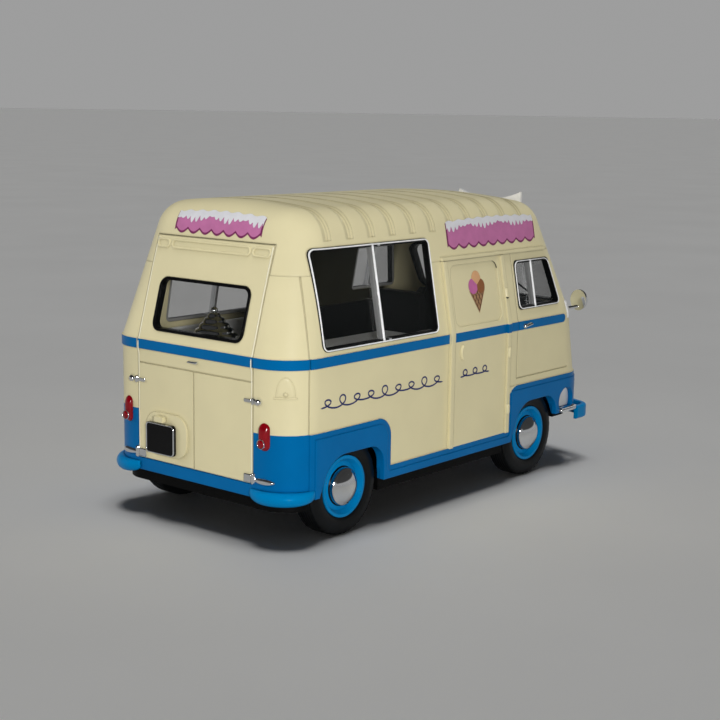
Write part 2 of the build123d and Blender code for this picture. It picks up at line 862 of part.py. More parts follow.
def tail_lamp():
    """Right-hand tail lamp: a round lens with a teardrop above it, seated on the corner."""
    inner = -tail_lamp_y + tail_drop_half
    outer = -tail_lamp_y - tail_drop_half
    shoulder = tail_lamp_z + 1
    lens_front = (rear_face - tail_lens_proud, -tail_lamp_y, tail_lamp_z)
    lens_back = (rear_face + tail_lamp_depth, -tail_lamp_y, tail_lamp_z)
    with BuildPart() as lamp:
        with BuildSketch(Plane.YZ.offset(station(rear_face) - tail_drop_proud)):
            with BuildLine():
                ThreePointArc((outer, shoulder), (-tail_lamp_y, tail_drop_top_z), (inner, shoulder))
                Polyline((inner, shoulder), (inner, tail_lamp_z), (outer, tail_lamp_z), (outer, shoulder))
            make_face()
        extrude(amount=tail_lamp_depth)
        add(rod(lens_front, lens_back, tail_lens_radius))
        add(envelope(fit), mode=Mode.SUBTRACT)
    return lamp.part


with BuildPart() as tail_lamps:
    add(tail_lamp())
    add(mirrored(tail_lamp()))

lamp_face = front_face(headlamp_y) + flare_proud
bezel_radius = headlamp_radius - fit
lens_radius = bezel_radius - bezel_width
bezel_depth = 1.9
lens_depth = 1.2
lens_dome = 0.7
lens_sink = 0.2
lens_arc = (lens_radius**2 + lens_dome**2) / (2 * lens_dome)


def lamp_rod(back, front, radius):
    """Round bar along the right-hand headlamp's axis, placed from the panel around it."""
    start = (lamp_face + back, -headlamp_y, headlamp_z)
    return rod(start, (lamp_face + front, -headlamp_y, headlamp_z), radius)


with BuildPart() as headlamp_bezels:
    lens_seat = lamp_rod(-lens_depth, bezel_proud + 1, lens_radius + fit)
    bezel = cut_from(lamp_rod(-bezel_depth, bezel_proud, bezel_radius), lens_seat)
    add(bezel)
    add(mirrored(bezel))

with BuildPart() as headlamp_lenses:
    back = station(lamp_face) - lens_depth + fit
    front = station(lamp_face) + bezel_proud - lens_sink
    for y in (-headlamp_y, headlamp_y):
        with BuildSketch(Plane.XY.offset(headlamp_z)):
            with BuildLine():
                rim = y - lens_radius
                Polyline((front, rim), (back, rim), (back, y), (front + lens_dome, y))
                RadiusArc((front + lens_dome, y), (front, rim), lens_arc)
            make_face()
        revolve(axis=Axis((0, y, headlamp_z), (1, 0, 0)))

indicator_y = half_width - 5.3
indicator_z = 21.4
indicator_radius = 0.95
indicator_proud = 0.2


def grille_screen():
    """Frame and bars of the front grille, run through the front."""
    pitch = (grille_z[1] - grille_z[0]) / (grille_bars + 1)
    bar_half = grille_half - grille_bar
    with BuildPart() as screen:
        add(end_prism(grille_half, *grille_z, grille_corner, 1, inset=fit))
        add(end_prism(grille_half, *grille_z, grille_corner, 1, inset=frame_width), mode=Mode.SUBTRACT)
        for index in range(grille_bars):
            low = grille_z[0] + pitch * (index + 1) - grille_bar / 2
            add(block(0, far, -bar_half, bar_half, low, low + grille_bar))
    return screen.part


with BuildPart() as front_indicators:
    reach = front_face(indicator_y)
    start = (reach - 3, -indicator_y, indicator_z)
    end = (reach + indicator_proud, -indicator_y, indicator_z)
    lamp = cut_from(rod(start, end, indicator_radius), envelope(fit))
    add(lamp)
    add(mirrored(lamp))

with BuildPart() as front_grille:
    add(layer(grille_screen(), -wall, flare_proud + 0.1))

# Rear fittings
plate_y = (3.7, 10.3)
plate_z = (11.3, 16.4)
plate_thick = 0.5
with BuildPart() as rear_plate:
    back = rear_face - pad_proud - fit
    with BuildSketch(Plane.YZ.offset(station(back))):
        with Locations((sum(plate_y) / 2, sum(plate_z) / 2)):
            RectangleRounded(plate_y[1] - plate_y[0], plate_z[1] - plate_z[0], 0.6)
    extrude(amount=-plate_thick)
with BuildPart() as plate_lamp:
    middle = sum(plate_y) / 2
    foot = plate_z[1] + 0.3
    add(block(back - 0.9, back, middle - 1.0, middle + 1.0, foot, foot + 0.9))

hinge_z = (11.1, 22.9)
hinge_leaf = 2.6
hinge_barrel = 0.45
with BuildPart() as rear_hinges:
    for z in hinge_z:
        y = rear_door_half + 0.6
        leaf = block(rear_face - 0.3, rear_face + 1.5, -y, hinge_leaf - y, z - 0.5, z + 0.5)
        pin = rod((rear_face - 0.2, -y - 0.3, z - 0.8), (rear_face - 0.2, -y - 0.3, z + 0.8), hinge_barrel)
        for piece in (leaf, pin):
            seated = cut_from(piece, envelope(fit))
            add(seated)
            add(mirrored(seated))

handle_z = 28.7
handle_half = 0.35
handle_proud = 0.75
handle_stations = (cab_door_rear + 1.7, cab_door_rear + 4.0)
with BuildPart() as door_handles:
    side = -half_width - stripe_proud
    ends = (handle_z - handle_half, handle_z + handle_half)
    grip = block(*handle_stations, side - handle_proud, side - fit, *ends)
    add(grip)
    add(mirrored(grip))
    add(block(rear_face - 0.6, rear_face - fit, -1.1, 1.1, 27.0, 27.5))

with BuildPart() as step_wells:
    well = layer(step_region(fit), -wall, -step_recess)
    bar = block(step_stations[0], step_stations[1] + 0.7, -far, 0, step_z[0] - tread_height, step_z[0])
    tread = layer(bar, flare_proud + fit, flare_proud + tread_reach)
    for piece in (well, tread):
        add(piece)
        add(mirrored(piece))

mirror_head = (front_axle + 14.3, -half_width, 31.8)
mirror_size = (1.75, 2.0)
mirror_thick = 0.9
mirror_root = (front_axle + 11.8, 2.5 - half_width, 29.9)
with BuildPart() as mirror_right:
    with BuildSketch(Plane.YZ.offset(station(mirror_head[0]))):
        with Locations((mirror_head[1], mirror_head[2])):
            Ellipse(*mirror_size)
    extrude(amount=mirror_thick)
    fillet(mirror_right.edges().group_by(Axis.X)[-1], 0.5)
    add(rod(mirror_root, (mirror_head[0] + 0.45, mirror_head[1], mirror_head[2] - 1.2), 0.32))
    add(envelope(stripe_proud + fit), mode=Mode.SUBTRACT)
with BuildPart() as mirror_left:
    add(mirrored(mirror_right.part))

wiper_feet = (-10.5, -1.5)
wiper_reach = (-3.0, 6.0)
wiper_z = (30.2, 34.8)
wiper_proud = 0.7


def wiper_arm(foot, tip):
    """Tapered bar from its foot to its tip across the screen, run through the front."""
    low, high = wiper_z
    with BuildPart() as arm:
        with BuildSketch(Plane.YZ):
            with BuildLine():
                edge = ((foot - 0.3, low), (foot + 0.3, low), (tip + 0.2, high), (tip - 0.2, high))
                Polyline(*edge, close=True)
            make_face()
        extrude(amount=far)
    return arm.part


with BuildPart() as wipers:
    for foot, tip in zip(wiper_feet, wiper_reach):
        add(layer(wiper_arm(foot, tip), frame_proud + fit, wiper_proud))

sign_station = front_axle + 13.6
sign_half = 7.4
sign_z = (44.6, 50.2)
sign_peak = 51.8
sign_thick = 0.6
sign_arm_y = 4.5
sign_arm_z = 47.0
with BuildPart() as roof_sign:
    with BuildSketch(Plane.YZ.offset(station(sign_station))):
        with BuildLine():
            low, high = sign_z
            Polyline((-sign_half, sign_peak), (-sign_half, low), (sign_half, low), (sign_half, sign_peak))
            ThreePointArc((sign_half, sign_peak), (0, high), (-sign_half, sign_peak))
        make_face()
    extrude(amount=sign_thick)
    for y in (-sign_arm_y, sign_arm_y):
        add(rod((sign_station + 0.3, y, sign_arm_z), (sign_station - 8.0, y, sign_arm_z), 0.5))
    add(roof_form(fit), mode=Mode.SUBTRACT)

# Wheels: columns are name, side, axle position
rim_radius = 5.05
rim_bead = 0.5
rim_face_y = tyre_face_y - 0.15
hubcap_radius = 3.1
hubcap_height = 0.9
tyre_shoulder = 1.0
WHEELS = [
    ("front_right", -1, front_axle_x),
    ("front_left", 1, front_axle_x),
    ("rear_right", -1, rear_axle_x),
    ("rear_left", 1, rear_axle_x),
]


def turned(points, axle, rounds=()):
    """A ring turned about a wheel's axle from its half section, given as radius and y."""
    with BuildPart() as ring_part:
        with BuildSketch(Plane.XY.offset(tyre_radius)) as section:
            with BuildLine():
                Polyline(*[(axle + radius, y) for radius, y in points], close=True)
            make_face()
            for radius, y, size in rounds:
                corner = section.vertices().sort_by_distance((axle + radius, y, 0))[0]
                fillet(corner, size)
        revolve(axis=Axis((axle, 0, tyre_radius), (0, 1, 0)))
    return ring_part.part


def tyre(side, axle):
    """Tyre with rounded shoulders."""
    outer, inner = side * tyre_face_y, side * tyre_inner_y
    points = [(rim_radius, inner), (tyre_radius, inner), (tyre_radius, outer), (rim_radius, outer)]
    rounds = [(tyre_radius, inner, tyre_shoulder), (tyre_radius, outer, tyre_shoulder)]
    return turned(points, axle, rounds)


def rim(side, axle):
    """Dished rim with its bore pressed on the axle."""
    face, back = side * rim_face_y, side * (tyre_inner_y + 0.3)
    seat = rim_radius - fit / 3
    points = [
        (axle_radius, back),
        (seat, back),
        (seat, face),
        (seat - rim_bead, face),
        (seat - rim_bead - 0.5, face - side * 0.9),
        (hubcap_radius - 0.2, face - side * 0.5),
        (axle_radius, face - side * 0.5),
    ]
    return turned(points, axle)


def hubcap(side, axle):
    """Domed hubcap on the middle of the rim."""
    base = side * (rim_face_y - 0.5)
    top = base + side * hubcap_height
    with BuildPart() as cap:
        with BuildSketch(Plane.XY.offset(tyre_radius)):
            with BuildLine():
                edge = (axle + hubcap_radius, base + side * 0.25)
                shoulder = (axle + hubcap_radius * 0.6, base + side * hubcap_height * 0.8)
                ThreePointArc((axle, top), shoulder, edge)
                Polyline(edge, (axle + hubcap_radius, base), (axle, base), (axle, top))
            make_face()
        revolve(axis=Axis((axle, 0, tyre_radius), (0, 1, 0)))
    return cap.part


wheel_nodes = {}
for name, side, axle in WHEELS:
    for kind, make in (("tyre", tyre), ("rim", rim), ("hubcap", hubcap)):
        with BuildPart() as wheel_piece:
            add(make(side, axle))
        wheel_nodes[f"{kind}_{name}"] = wheel_piece

axle_end_y = rim_face_y - 0.5
for name, axle in (("front_axle", front_axle_x), ("rear_axle", rear_axle_x)):
    with BuildPart() as axle_piece:
        with BuildSketch(Plane.XZ):
            with Locations((axle, tyre_radius)):
                Circle(axle_radius)
        extrude(amount=axle_end_y, both=True)
    wheel_nodes[name] = axle_piece

NODES = dict(
    body_shell=body_shell,
    roof=roof,
    base_plate=base_plate,
    base_screws=base_screws,
    interior_tub=interior_tub,
    seats=seats,
    dashboard=dashboard,
    steering_wheel=steering_wheel,
    serving_counter=serving_counter,
    tub_lid=tub_lid,
    serving_frame=serving_frame,
    serving_glass=serving_glass,
    left_frame=left_frame,
    left_glass=left_glass,
    door_frame_right=door_frame_right,
    door_frame_left=door_frame_left,
    door_glass_right=door_glass_right,
    door_glass_left=door_glass_left,
    rear_seal=rear_seal,
    rear_glass=rear_glass,
    windscreen_seal=windscreen_seal,
    windscreen=windscreen,
    front_bumper=front_bumper,
    rear_bumper_right=rear_bumper_right,
    rear_bumper_left=rear_bumper_left,
    tail_lamps=tail_lamps,
    headlamp_bezels=headlamp_bezels,
    headlamp_lenses=headlamp_lenses,
    front_indicators=front_indicators,
    front_grille=front_grille,
    rear_plate=rear_plate,
    plate_lamp=plate_lamp,
    rear_hinges=rear_hinges,
    door_handles=door_handles,
    step_wells=step_wells,
    mirror_right=mirror_right,
    mirror_left=mirror_left,
    wipers=wipers,
    roof_sign=roof_sign,
    **wheel_nodes,
)
for name, piece in NODES.items():
    piece.part.label = name
    export_step(piece.part, f"parts/{name}.step")
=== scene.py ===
import json
from functools import reduce
from math import cos, pi, radians, sin, sqrt

import bmesh
import bpy
from mathutils import Matrix, Vector
from mathutils.bvhtree import BVHTree


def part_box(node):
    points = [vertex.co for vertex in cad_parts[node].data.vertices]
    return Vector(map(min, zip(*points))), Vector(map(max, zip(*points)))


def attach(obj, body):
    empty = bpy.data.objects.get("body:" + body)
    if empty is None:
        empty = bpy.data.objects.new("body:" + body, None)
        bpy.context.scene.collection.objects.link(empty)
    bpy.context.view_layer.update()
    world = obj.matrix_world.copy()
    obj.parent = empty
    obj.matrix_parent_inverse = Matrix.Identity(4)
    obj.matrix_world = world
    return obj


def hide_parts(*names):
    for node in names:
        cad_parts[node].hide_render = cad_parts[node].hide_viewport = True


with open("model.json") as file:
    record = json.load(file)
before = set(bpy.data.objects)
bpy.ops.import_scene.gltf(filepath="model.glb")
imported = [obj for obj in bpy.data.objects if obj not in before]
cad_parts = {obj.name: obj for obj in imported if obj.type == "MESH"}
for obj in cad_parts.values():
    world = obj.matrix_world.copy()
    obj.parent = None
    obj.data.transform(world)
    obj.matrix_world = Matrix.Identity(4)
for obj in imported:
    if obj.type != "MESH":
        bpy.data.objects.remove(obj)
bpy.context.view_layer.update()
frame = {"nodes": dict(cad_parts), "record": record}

nodes = frame["nodes"]

# Places are in millimetres: stations from the middle of the wheelbase, +x forward, +y left, +z up
MM = 0.001


def box_middle(node):
    low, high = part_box(node)
    return (low + high) / 2


REAR_AXLE_X = box_middle("rear_axle").x
FRONT_AXLE_X = box_middle("front_axle").x
MIDDLE_X = (REAR_AXLE_X + FRONT_AXLE_X) / 2
REAR_AXLE = (REAR_AXLE_X - MIDDLE_X) / MM
FRONT_AXLE = (FRONT_AXLE_X - MIDDLE_X) / MM


def at(x, y, z):
    """Frame point, in metres, of a station, a width and a height in millimetres."""
    return Vector((MIDDLE_X + x * MM, y * MM, z * MM))


def station(x):
    return at(x, 0, 0).x


# Lines of the body, as the casting has them
SILL_TOP = 9.8
WAIST = 18.0
STRIPE_LOW, STRIPE_HIGH = 28.1, 29.7
HALF_WIDTH = 20.9
REAR_FACE = REAR_AXLE - 13.98
REAR_CORNER = 6.5
REAR_FLARE_END = REAR_AXLE + 10.1
FRONT_FLARE_END = FRONT_AXLE - 9.0
FLARE_CORNER = 3.2
REAR_DOOR_HALF = 13.1
HATCH_TOP = 46.5
CORNER_SEAM = REAR_FACE + 4.6
STRIPE_END = FRONT_AXLE + 9.6
REAR_BEAD = FRONT_AXLE - 26.6
FRONT_BEAD = FRONT_AXLE - 9.6

# Camera: where the photograph was taken from
CAMERA_PLACE = (-193.726, -162.158, 67.001)
CAMERA_HEADING = radians(39.817)
CAMERA_DROP = radians(9.966)
CAMERA_ROLL = radians(0.862)
CAMERA_LENS = 71.107
CAMERA_SENSOR = 36.0
CAMERA_CLIP = (0.01, 60.0)


def place_object(name, data):
    made = bpy.data.objects.new(name, data)
    bpy.context.scene.collection.objects.link(made)
    return made


def make_camera():
    ahead = Vector((
        cos(CAMERA_DROP) * cos(CAMERA_HEADING),
        cos(CAMERA_DROP) * sin(CAMERA_HEADING),
        -sin(CAMERA_DROP),
    ))
    level = ahead.cross(Vector((0, 0, 1))).normalized()
    upright = level.cross(ahead)
    right = cos(CAMERA_ROLL) * level + sin(CAMERA_ROLL) * upright
    up = cos(CAMERA_ROLL) * upright - sin(CAMERA_ROLL) * level
    data = bpy.data.cameras.new("camera")
    data.lens = CAMERA_LENS
    data.sensor_width = CAMERA_SENSOR
    data.clip_start, data.clip_end = CAMERA_CLIP
    camera = place_object("camera", data)
    turn = Matrix((right, up, -ahead)).transposed().to_4x4()
    camera.matrix_world = Matrix.Translation(at(*CAMERA_PLACE)) @ turn
    bpy.context.scene.camera = camera


# Studio lights. Columns: name, kind, place in metres, size in metres or spread in degrees, power, colour
LIGHTS = [
    ("key", "AREA", (-0.208, -0.217, 0.075), 0.05, 0.185, (1.0, 0.99, 0.97)),
    ("top", "SUN", (-0.01, -0.02, 0.70), 20.0, 1.02, (1.0, 1.0, 1.0)),
    ("left_box", "AREA", (-0.30, 0.50, 0.25), 0.30, 0.5, (1.0, 1.0, 1.0)),
    ("front_box", "AREA", (0.60, 0.10, 0.30), 0.30, 0.7, (0.98, 0.99, 1.0)),
]
LIGHT_AIM = (0, 0, 0.02)
# The one lamp that shows in the gloss
FLASH = "key"
# Lamps that don't light the floor, so that it stays even, and dark under the van
FLAGGED_LIGHTS = ("key", "left_box", "front_box")
BEAM = radians(110)
# Studio walls. Columns: height of the direction, grey
SKY = [(0.0, 0.34), (0.15, 0.34), (0.20, 0.05), (1.0, 0.03)]
FLOOR_HALF = 25.0


def make_lights():
    for name, kind, place, spread, power, colour in LIGHTS:
        data = bpy.data.lights.new(name, kind)
        if kind == "SUN":
            data.angle = radians(spread)
        else:
            data.size = spread
            data.spread = BEAM
        data.energy = power
        data.color = colour
        light = place_object(name, data)
        light.location = place
        light.visible_camera = False
        light.visible_glossy = name == FLASH
        light.rotation_mode = "QUATERNION"
        light.rotation_quaternion = (Vector(LIGHT_AIM) - Vector(place)).to_track_quat("-Z", "Y")


def set_stops(ramp, stops):
    points = ramp.color_ramp.elements
    while len(points) < len(stops):
        points.new(0.5)
    for point, (where, colour) in zip(points, stops):
        point.position = where
        point.color = (*colour, 1)


def make_world():
    world = bpy.data.worlds.new("studio")
    world.use_nodes = True
    tree = world.node_tree
    direction = tree.nodes.new("ShaderNodeTexCoord").outputs["Generated"]
    parts = tree.nodes.new("ShaderNodeSeparateXYZ")
    ramp = tree.nodes.new("ShaderNodeValToRGB")
    set_stops(ramp, [(height, (grey, grey, grey)) for height, grey in SKY])
    tree.links.new(direction, parts.inputs[0])
    tree.links.new(parts.outputs["Z"], ramp.inputs[0])
    tree.links.new(ramp.outputs[0], tree.nodes["Background"].inputs["Color"])
    bpy.context.scene.world = world
    bpy.context.scene.view_settings.view_transform = "Standard"


# Sockets of a Mix node for colours, and the noise levels where a wandering colour ends
MIX_FIRST, MIX_SECOND, MIX_RESULT = 6, 7, 2
TONE_ENDS = (0.3, 0.7)


class Paint:
    """A node material: one Principled shader, with short calls that add nodes and join them."""

    def __init__(self, name, constants):
        self.material = bpy.data.materials.new(name)
        self.material.use_nodes = True
        self.tree = self.material.node_tree
        self.shader = self.tree.nodes["Principled BSDF"]
        for socket, value in constants.items():
            self.shader.inputs[socket].default_value = value
        self.place = self.node("ShaderNodeTexCoord").outputs["Object"]
        self.normal = None

    def node(self, kind, **settings):
        made = self.tree.nodes.new(kind)
        for name, value in settings.items():
            setattr(made, name, value)
        return made

    def join(self, value, socket):
        if isinstance(value, bpy.types.NodeSocket):
            self.tree.links.new(value, socket)
        else:
            socket.default_value = value

    def math(self, operation, first, second=0.0):
        made = self.node("ShaderNodeMath", operation=operation)
        self.join(first, made.inputs[0])
        self.join(second, made.inputs[1])
        return made.outputs[0]

    def axes(self, vector=None):
        parts = self.node("ShaderNodeSeparateXYZ")
        self.join(vector or self.place, parts.inputs[0])
        return parts.outputs

    def noise(self, size, detail=3.0):
        """Noise whose grains are about size millimetres across."""
        made = self.node("ShaderNodeTexNoise")
        self.join(self.place, made.inputs["Vector"])
        made.inputs["Scale"].default_value = 1 / (size * MM)
        made.inputs["Detail"].default_value = detail
        return made.outputs["Fac"]

    def ramp(self, factor, stops):
        made = self.node("ShaderNodeValToRGB")
        self.join(factor, made.inputs[0])
        set_stops(made, stops)
        return made.outputs[0]

    def span(self, factor, low, high, start=0.0, end=1.0):
        """Factor from start..end spread over low..high."""
        made = self.node("ShaderNodeMapRange")
        self.join(factor, made.inputs["Value"])
        limits = {"From Min": start, "From Max": end, "To Min": low, "To Max": high}
        for socket, limit in limits.items():
            made.inputs[socket].default_value = limit
        return made.outputs["Result"]

    def mix(self, factor, first, second):
        made = self.node("ShaderNodeMix", data_type="RGBA")
        self.join(factor, made.inputs["Factor"])
        self.join(first, made.inputs[MIX_FIRST])
        self.join(second, made.inputs[MIX_SECOND])
        return made.outputs[MIX_RESULT]

    def tones(self, colour, size, swing):
        """A colour that wanders by a share of itself in patches of size millimetres."""
        dark = [channel * (1 - swing) for channel in colour]
        light = [min(1, channel * (1 + swing)) for channel in colour]
        return self.ramp(self.noise(size), list(zip(TONE_ENDS, (dark, light))))

    def crevice_shade(self, colour, reach=0.4, depth=0.4):
        """A colour darkened as painted shade in grooves, by up to a depth, from occlusion looked for within
        reach millimetres.
        """
        made = self.node("ShaderNodeAmbientOcclusion", samples=4)
        made.inputs["Distance"].default_value = reach * MM
        self.join(colour, made.inputs["Color"])
        return self.mix(depth, colour, made.outputs["Color"])

    def colour(self, value):
        self.join(value, self.shader.inputs["Base Color"])

    def rough(self, size, low, high):
        self.join(self.span(self.noise(size), low, high), self.shader.inputs["Roughness"])

    def round_edges(self, radius):
        """Softens the shading of sharp edges by a radius in millimetres."""
        made = self.node("ShaderNodeBevel", samples=6)
        made.inputs["Radius"].default_value = radius * MM
        self.normal = made.outputs[0]
        self.join(self.normal, self.shader.inputs["Normal"])

    def bump(self, height, depth):
        """Relief of depth millimetres from a height of 0..1."""
        made = self.node("ShaderNodeBump")
        made.inputs["Distance"].default_value = depth * MM
        self.join(height, made.inputs["Height"])
        if self.normal is not None:
            self.join(self.normal, made.inputs["Normal"])
        self.normal = made.outputs[0]
        self.join(self.normal, self.shader.inputs["Normal"])

    def any_of(self, *masks):
        return reduce(lambda first, second: self.math("MAXIMUM", first, second), masks)

    def all_of(self, *masks):
        return reduce(lambda first, second: self.math("MULTIPLY", first, second), masks)

    def near(self, value, middle, reach):
        """1 where a value is within reach of a middle."""
        away = self.math("ABSOLUTE", self.math("SUBTRACT", value, middle))
        return self.math("LESS_THAN", away, reach)

    def over(self, value, limit):
        """How far a value is past a limit, and 0 before it."""
        return self.math("MAXIMUM", self.math("SUBTRACT", value, limit), 0.0)

    def within_round(self, first, second, radius):
        """1 where two distances, taken as sides of a right angle, are within a radius."""
        squares = [self.math("POWER", side, 2.0) for side in (first, second)]
        return self.math("LESS_THAN", self.math("ADD", *squares), radius**2)


# Colours, linear
CREAM = (0.76, 0.69, 0.43)
# Dark cream of the painted shade inside the body
SHADED_CREAM = (0.03, 0.028, 0.018)
# Lighter cream of the rear doors' edge beads, a painted highlight
HIGHLIGHT_CREAM = (0.90, 0.86, 0.66)
BLUE = (0.0, 0.135, 0.38)
BRIGHT_BLUE = (0.0, 0.20, 0.48)
SILVER = (0.62, 0.63, 0.64)


def enamel(name, edge=0.24):
    """Sprayed enamel: clear gloss over colour, thick over edges, with a slight orange peel."""
    paint = Paint(name, {"Coat Weight": 0.05, "Coat Roughness": 0.05, "Specular IOR Level": 0.2})
    paint.rough(1.5, 0.30, 0.38)
    paint.round_edges(edge)
    paint.bump(paint.noise(0.55, 1.0), 0.006)
    return paint


# Gloss of the enamel: white over cream, and its own colour over blue
WHITE_GLOSS = (1.0, 1.0, 1.0, 1)
BLUE_GLOSS = (0.02, 0.35, 0.8, 1)


def flare_mask(paint, x, z, end, side):
    """1 on a flare that runs from its end to one side, its top corner rounded."""
    corner = FLARE_CORNER * MM
    behind = paint.math("MULTIPLY", paint.math("SUBTRACT", station(end), x), side)
    above = paint.math("SUBTRACT", z, WAIST * MM)
    return paint.within_round(paint.over(behind, -corner), paint.over(above, -corner), corner)


# Depth of wall that the stripe covers, and the half widths of its gaps at seams and at the rear bead
STRIPE_SKIN = 0.8
STRIPE_GAP_HALF, BEAD_GAP_HALF = 0.11, 0.62


def inner_wall(paint, x, wide):
    """1 on the inner side of the upright walls."""
    sideways = paint.over(wide, (HALF_WIDTH - REAR_CORNER) * MM)
    backward = paint.over(paint.math("MULTIPLY", x, -1.0), -station(REAR_FACE + REAR_CORNER))
    return paint.within_round(sideways, backward, (REAR_CORNER - STRIPE_SKIN) * MM)


def stripe_mask(paint, x, y, wide, z):
    """1 on the belt stripe: round at its front end, and open at the rear bead and the seams."""
    half = (STRIPE_HIGH - STRIPE_LOW) / 2 * MM
    rise = paint.math("SUBTRACT", z, (STRIPE_HIGH + STRIPE_LOW) / 2 * MM)
    past_end = paint.over(x, station(STRIPE_END) - half)
    right_hand = paint.math("LESS_THAN", y, 0.0)
    bead_gap = paint.all_of(paint.near(x, station(REAR_BEAD), BEAD_GAP_HALF * MM), right_hand)
    seam_gap = paint.near(x, station(CORNER_SEAM), STRIPE_GAP_HALF * MM)
    door_gap = paint.near(wide, REAR_DOOR_HALF * MM, STRIPE_GAP_HALF * MM)
    bare = paint.any_of(bead_gap, seam_gap, door_gap, inner_wall(paint, x, wide))
    return paint.over(paint.within_round(past_end, rise, half), bare)


# Painted shade on the inside: heights of the belt's upright inner wall, then all that leans above it
BELT_MIDDLE, BELT_HALF = 29.3, 0.6
INSIDE_FROM = 29.5
# Upright share of the normal under which a wall counts as leaning inwards
LEANS_IN = -0.08
# Painted shade inside the body, in place of the shade that falls there, and the stations that it spans.
# Columns: station, share shaded
INSIDE_PAINTED_SHADE = [(-20.0, 0.0), (-6.0, 1.0), (31.0, 1.0), (34.0, 0.0)]
INSIDE_SPAN = (-45.0, 45.0)


def cream_and_painted_shade(paint, x, y, z):
    """Cream outside, and painted shade: a dark cream along the middle of the inside."""
    facing = paint.axes(paint.node("ShaderNodeNewGeometry").outputs["Normal"])["Z"]
    leaning = paint.all_of(
        paint.math("LESS_THAN", facing, LEANS_IN),
        paint.math("GREATER_THAN", z, INSIDE_FROM * MM),
    )
    belt = paint.all_of(
        paint.near(z, BELT_MIDDLE * MM, BELT_HALF * MM),
        inner_wall(paint, x, paint.math("ABSOLUTE", y)),
    )
    inside = paint.any_of(leaning, belt)
    start, end = INSIDE_SPAN
    along = paint.span(x, 0.0, 1.0, station(start), station(end))
    stops = [((place - start) / (end - start), (share,) * 3) for place, share in INSIDE_PAINTED_SHADE]
    shade = paint.all_of(inside, paint.ramp(along, stops))
    # Cream darkened in grooves as painted shade
    outside = paint.crevice_shade(paint.tones(CREAM, 9, 0.03))
    return paint.mix(shade, outside, paint.tones(SHADED_CREAM, 6, 0.1))


def body_paint():
    """Cream body with its blue sill, flares, rear corners and belt stripe."""
    paint = enamel("body_paint")
    x, y, z = paint.axes()
    wide = paint.math("ABSOLUTE", y)
    sill = paint.math("LESS_THAN", z, SILL_TOP * MM)
    past_doors = paint.math("GREATER_THAN", wide, REAR_DOOR_HALF * MM)
    rear = paint.all_of(flare_mask(paint, x, z, REAR_FLARE_END, -1), past_doors)
    front = flare_mask(paint, x, z, FRONT_FLARE_END, 1)
    blue = paint.any_of(sill, rear, front, stripe_mask(paint, x, y, wide, z))
    # Blue darkened in grooves as painted shade
    blue_coat = paint.crevice_shade(paint.tones(BLUE, 6, 0.05))
    # Cream, with painted shade along the middle of the inside
    paint.colour(paint.mix(blue, cream_and_painted_shade(paint, x, y, z), blue_coat))
    paint.join(paint.mix(blue, WHITE_GLOSS, BLUE_GLOSS), paint.shader.inputs["Specular Tint"])
    return paint.material


def roof_paint():
    paint = enamel("roof_paint", edge=0.5)
    # Roof cream, with painted shade on its inside
    paint.colour(cream_and_painted_shade(paint, *paint.axes()))
    return paint.material


def plain_enamel(name, colour, gloss=WHITE_GLOSS):
    paint = enamel(name)
    paint.shader.inputs["Specular Tint"].default_value = gloss
    # Colour darkened in grooves as painted shade
    paint.colour(paint.crevice_shade(paint.tones(colour, 8, 0.035)))
    return paint.material


def chrome(name):
    paint = Paint(name, {"Metallic": 1.0})
    paint.colour(paint.tones((0.80, 0.81, 0.82), 2.5, 0.06))
    paint.rough(0.8, 0.03, 0.08)
    paint.round_edges(0.08)
    paint.bump(paint.noise(0.6), 0.002)
    return paint.material


def moulded(name, colour, low, high, grain=0.35, shine=0.3):
    """Moulded plastic or rubber with a fine grain."""
    paint = Paint(name, {"Specular IOR Level": shine})
    paint.colour(paint.tones(colour, 4, 0.12))
    paint.rough(1.2, low, high)
    paint.round_edges(0.1)
    paint.bump(paint.noise(grain, 2.0), 0.012)
    return paint.material


# Grey unit behind the cab: its front station, and the width from which it starts
UNIT_FRONT, UNIT_SIDE = -3.0, 9.0
COUNTER_GREY = (0.78, 0.79, 0.79)


def inside_plastic():
    """Black plastic inside, with the light grey unit along the left wall behind the cab."""
    paint = Paint("inside_plastic", {"Specular IOR Level": 0.3})
    x, y, _ = paint.axes()
    unit = paint.all_of(
        paint.math("LESS_THAN", x, station(UNIT_FRONT)),
        paint.math("GREATER_THAN", y, UNIT_SIDE * MM),
    )
    black = paint.tones((0.006, 0.006, 0.007), 4, 0.12)
    paint.colour(paint.mix(unit, black, paint.tones(COUNTER_GREY, 4, 0.05)))
    paint.rough(1.2, 0.35, 0.5)
    paint.bump(paint.noise(0.35, 2.0), 0.012)
    return paint.material


# How much of the glass shows: in smudges, and more at a glancing angle
GLASS_SMUDGE = (0.04, 0.08)
GLASS_GLANCE, GLASS_BLEND = 0.3, 0.2


def glazing(name):
    """Thin clear sheet: almost all see-through, with more gloss at a glancing angle."""
    paint = Paint(name, {"Base Color": (0.02, 0.025, 0.025, 1), "IOR": 1.5, "Roughness": 0.03})
    facing = paint.node("ShaderNodeLayerWeight")
    facing.inputs["Blend"].default_value = GLASS_BLEND
    smudge = paint.span(paint.noise(6), *GLASS_SMUDGE)
    glance = paint.math("MULTIPLY", facing.outputs["Fresnel"], GLASS_GLANCE)
    paint.join(paint.math("ADD", smudge, glance), paint.shader.inputs["Alpha"])
    return paint.material


LENS_GLOSS = {"Coat Weight": 0.5, "Coat Roughness": 0.03, "Roughness": 0.2, "Specular IOR Level": 0.2}
LENS_RIBS = 400


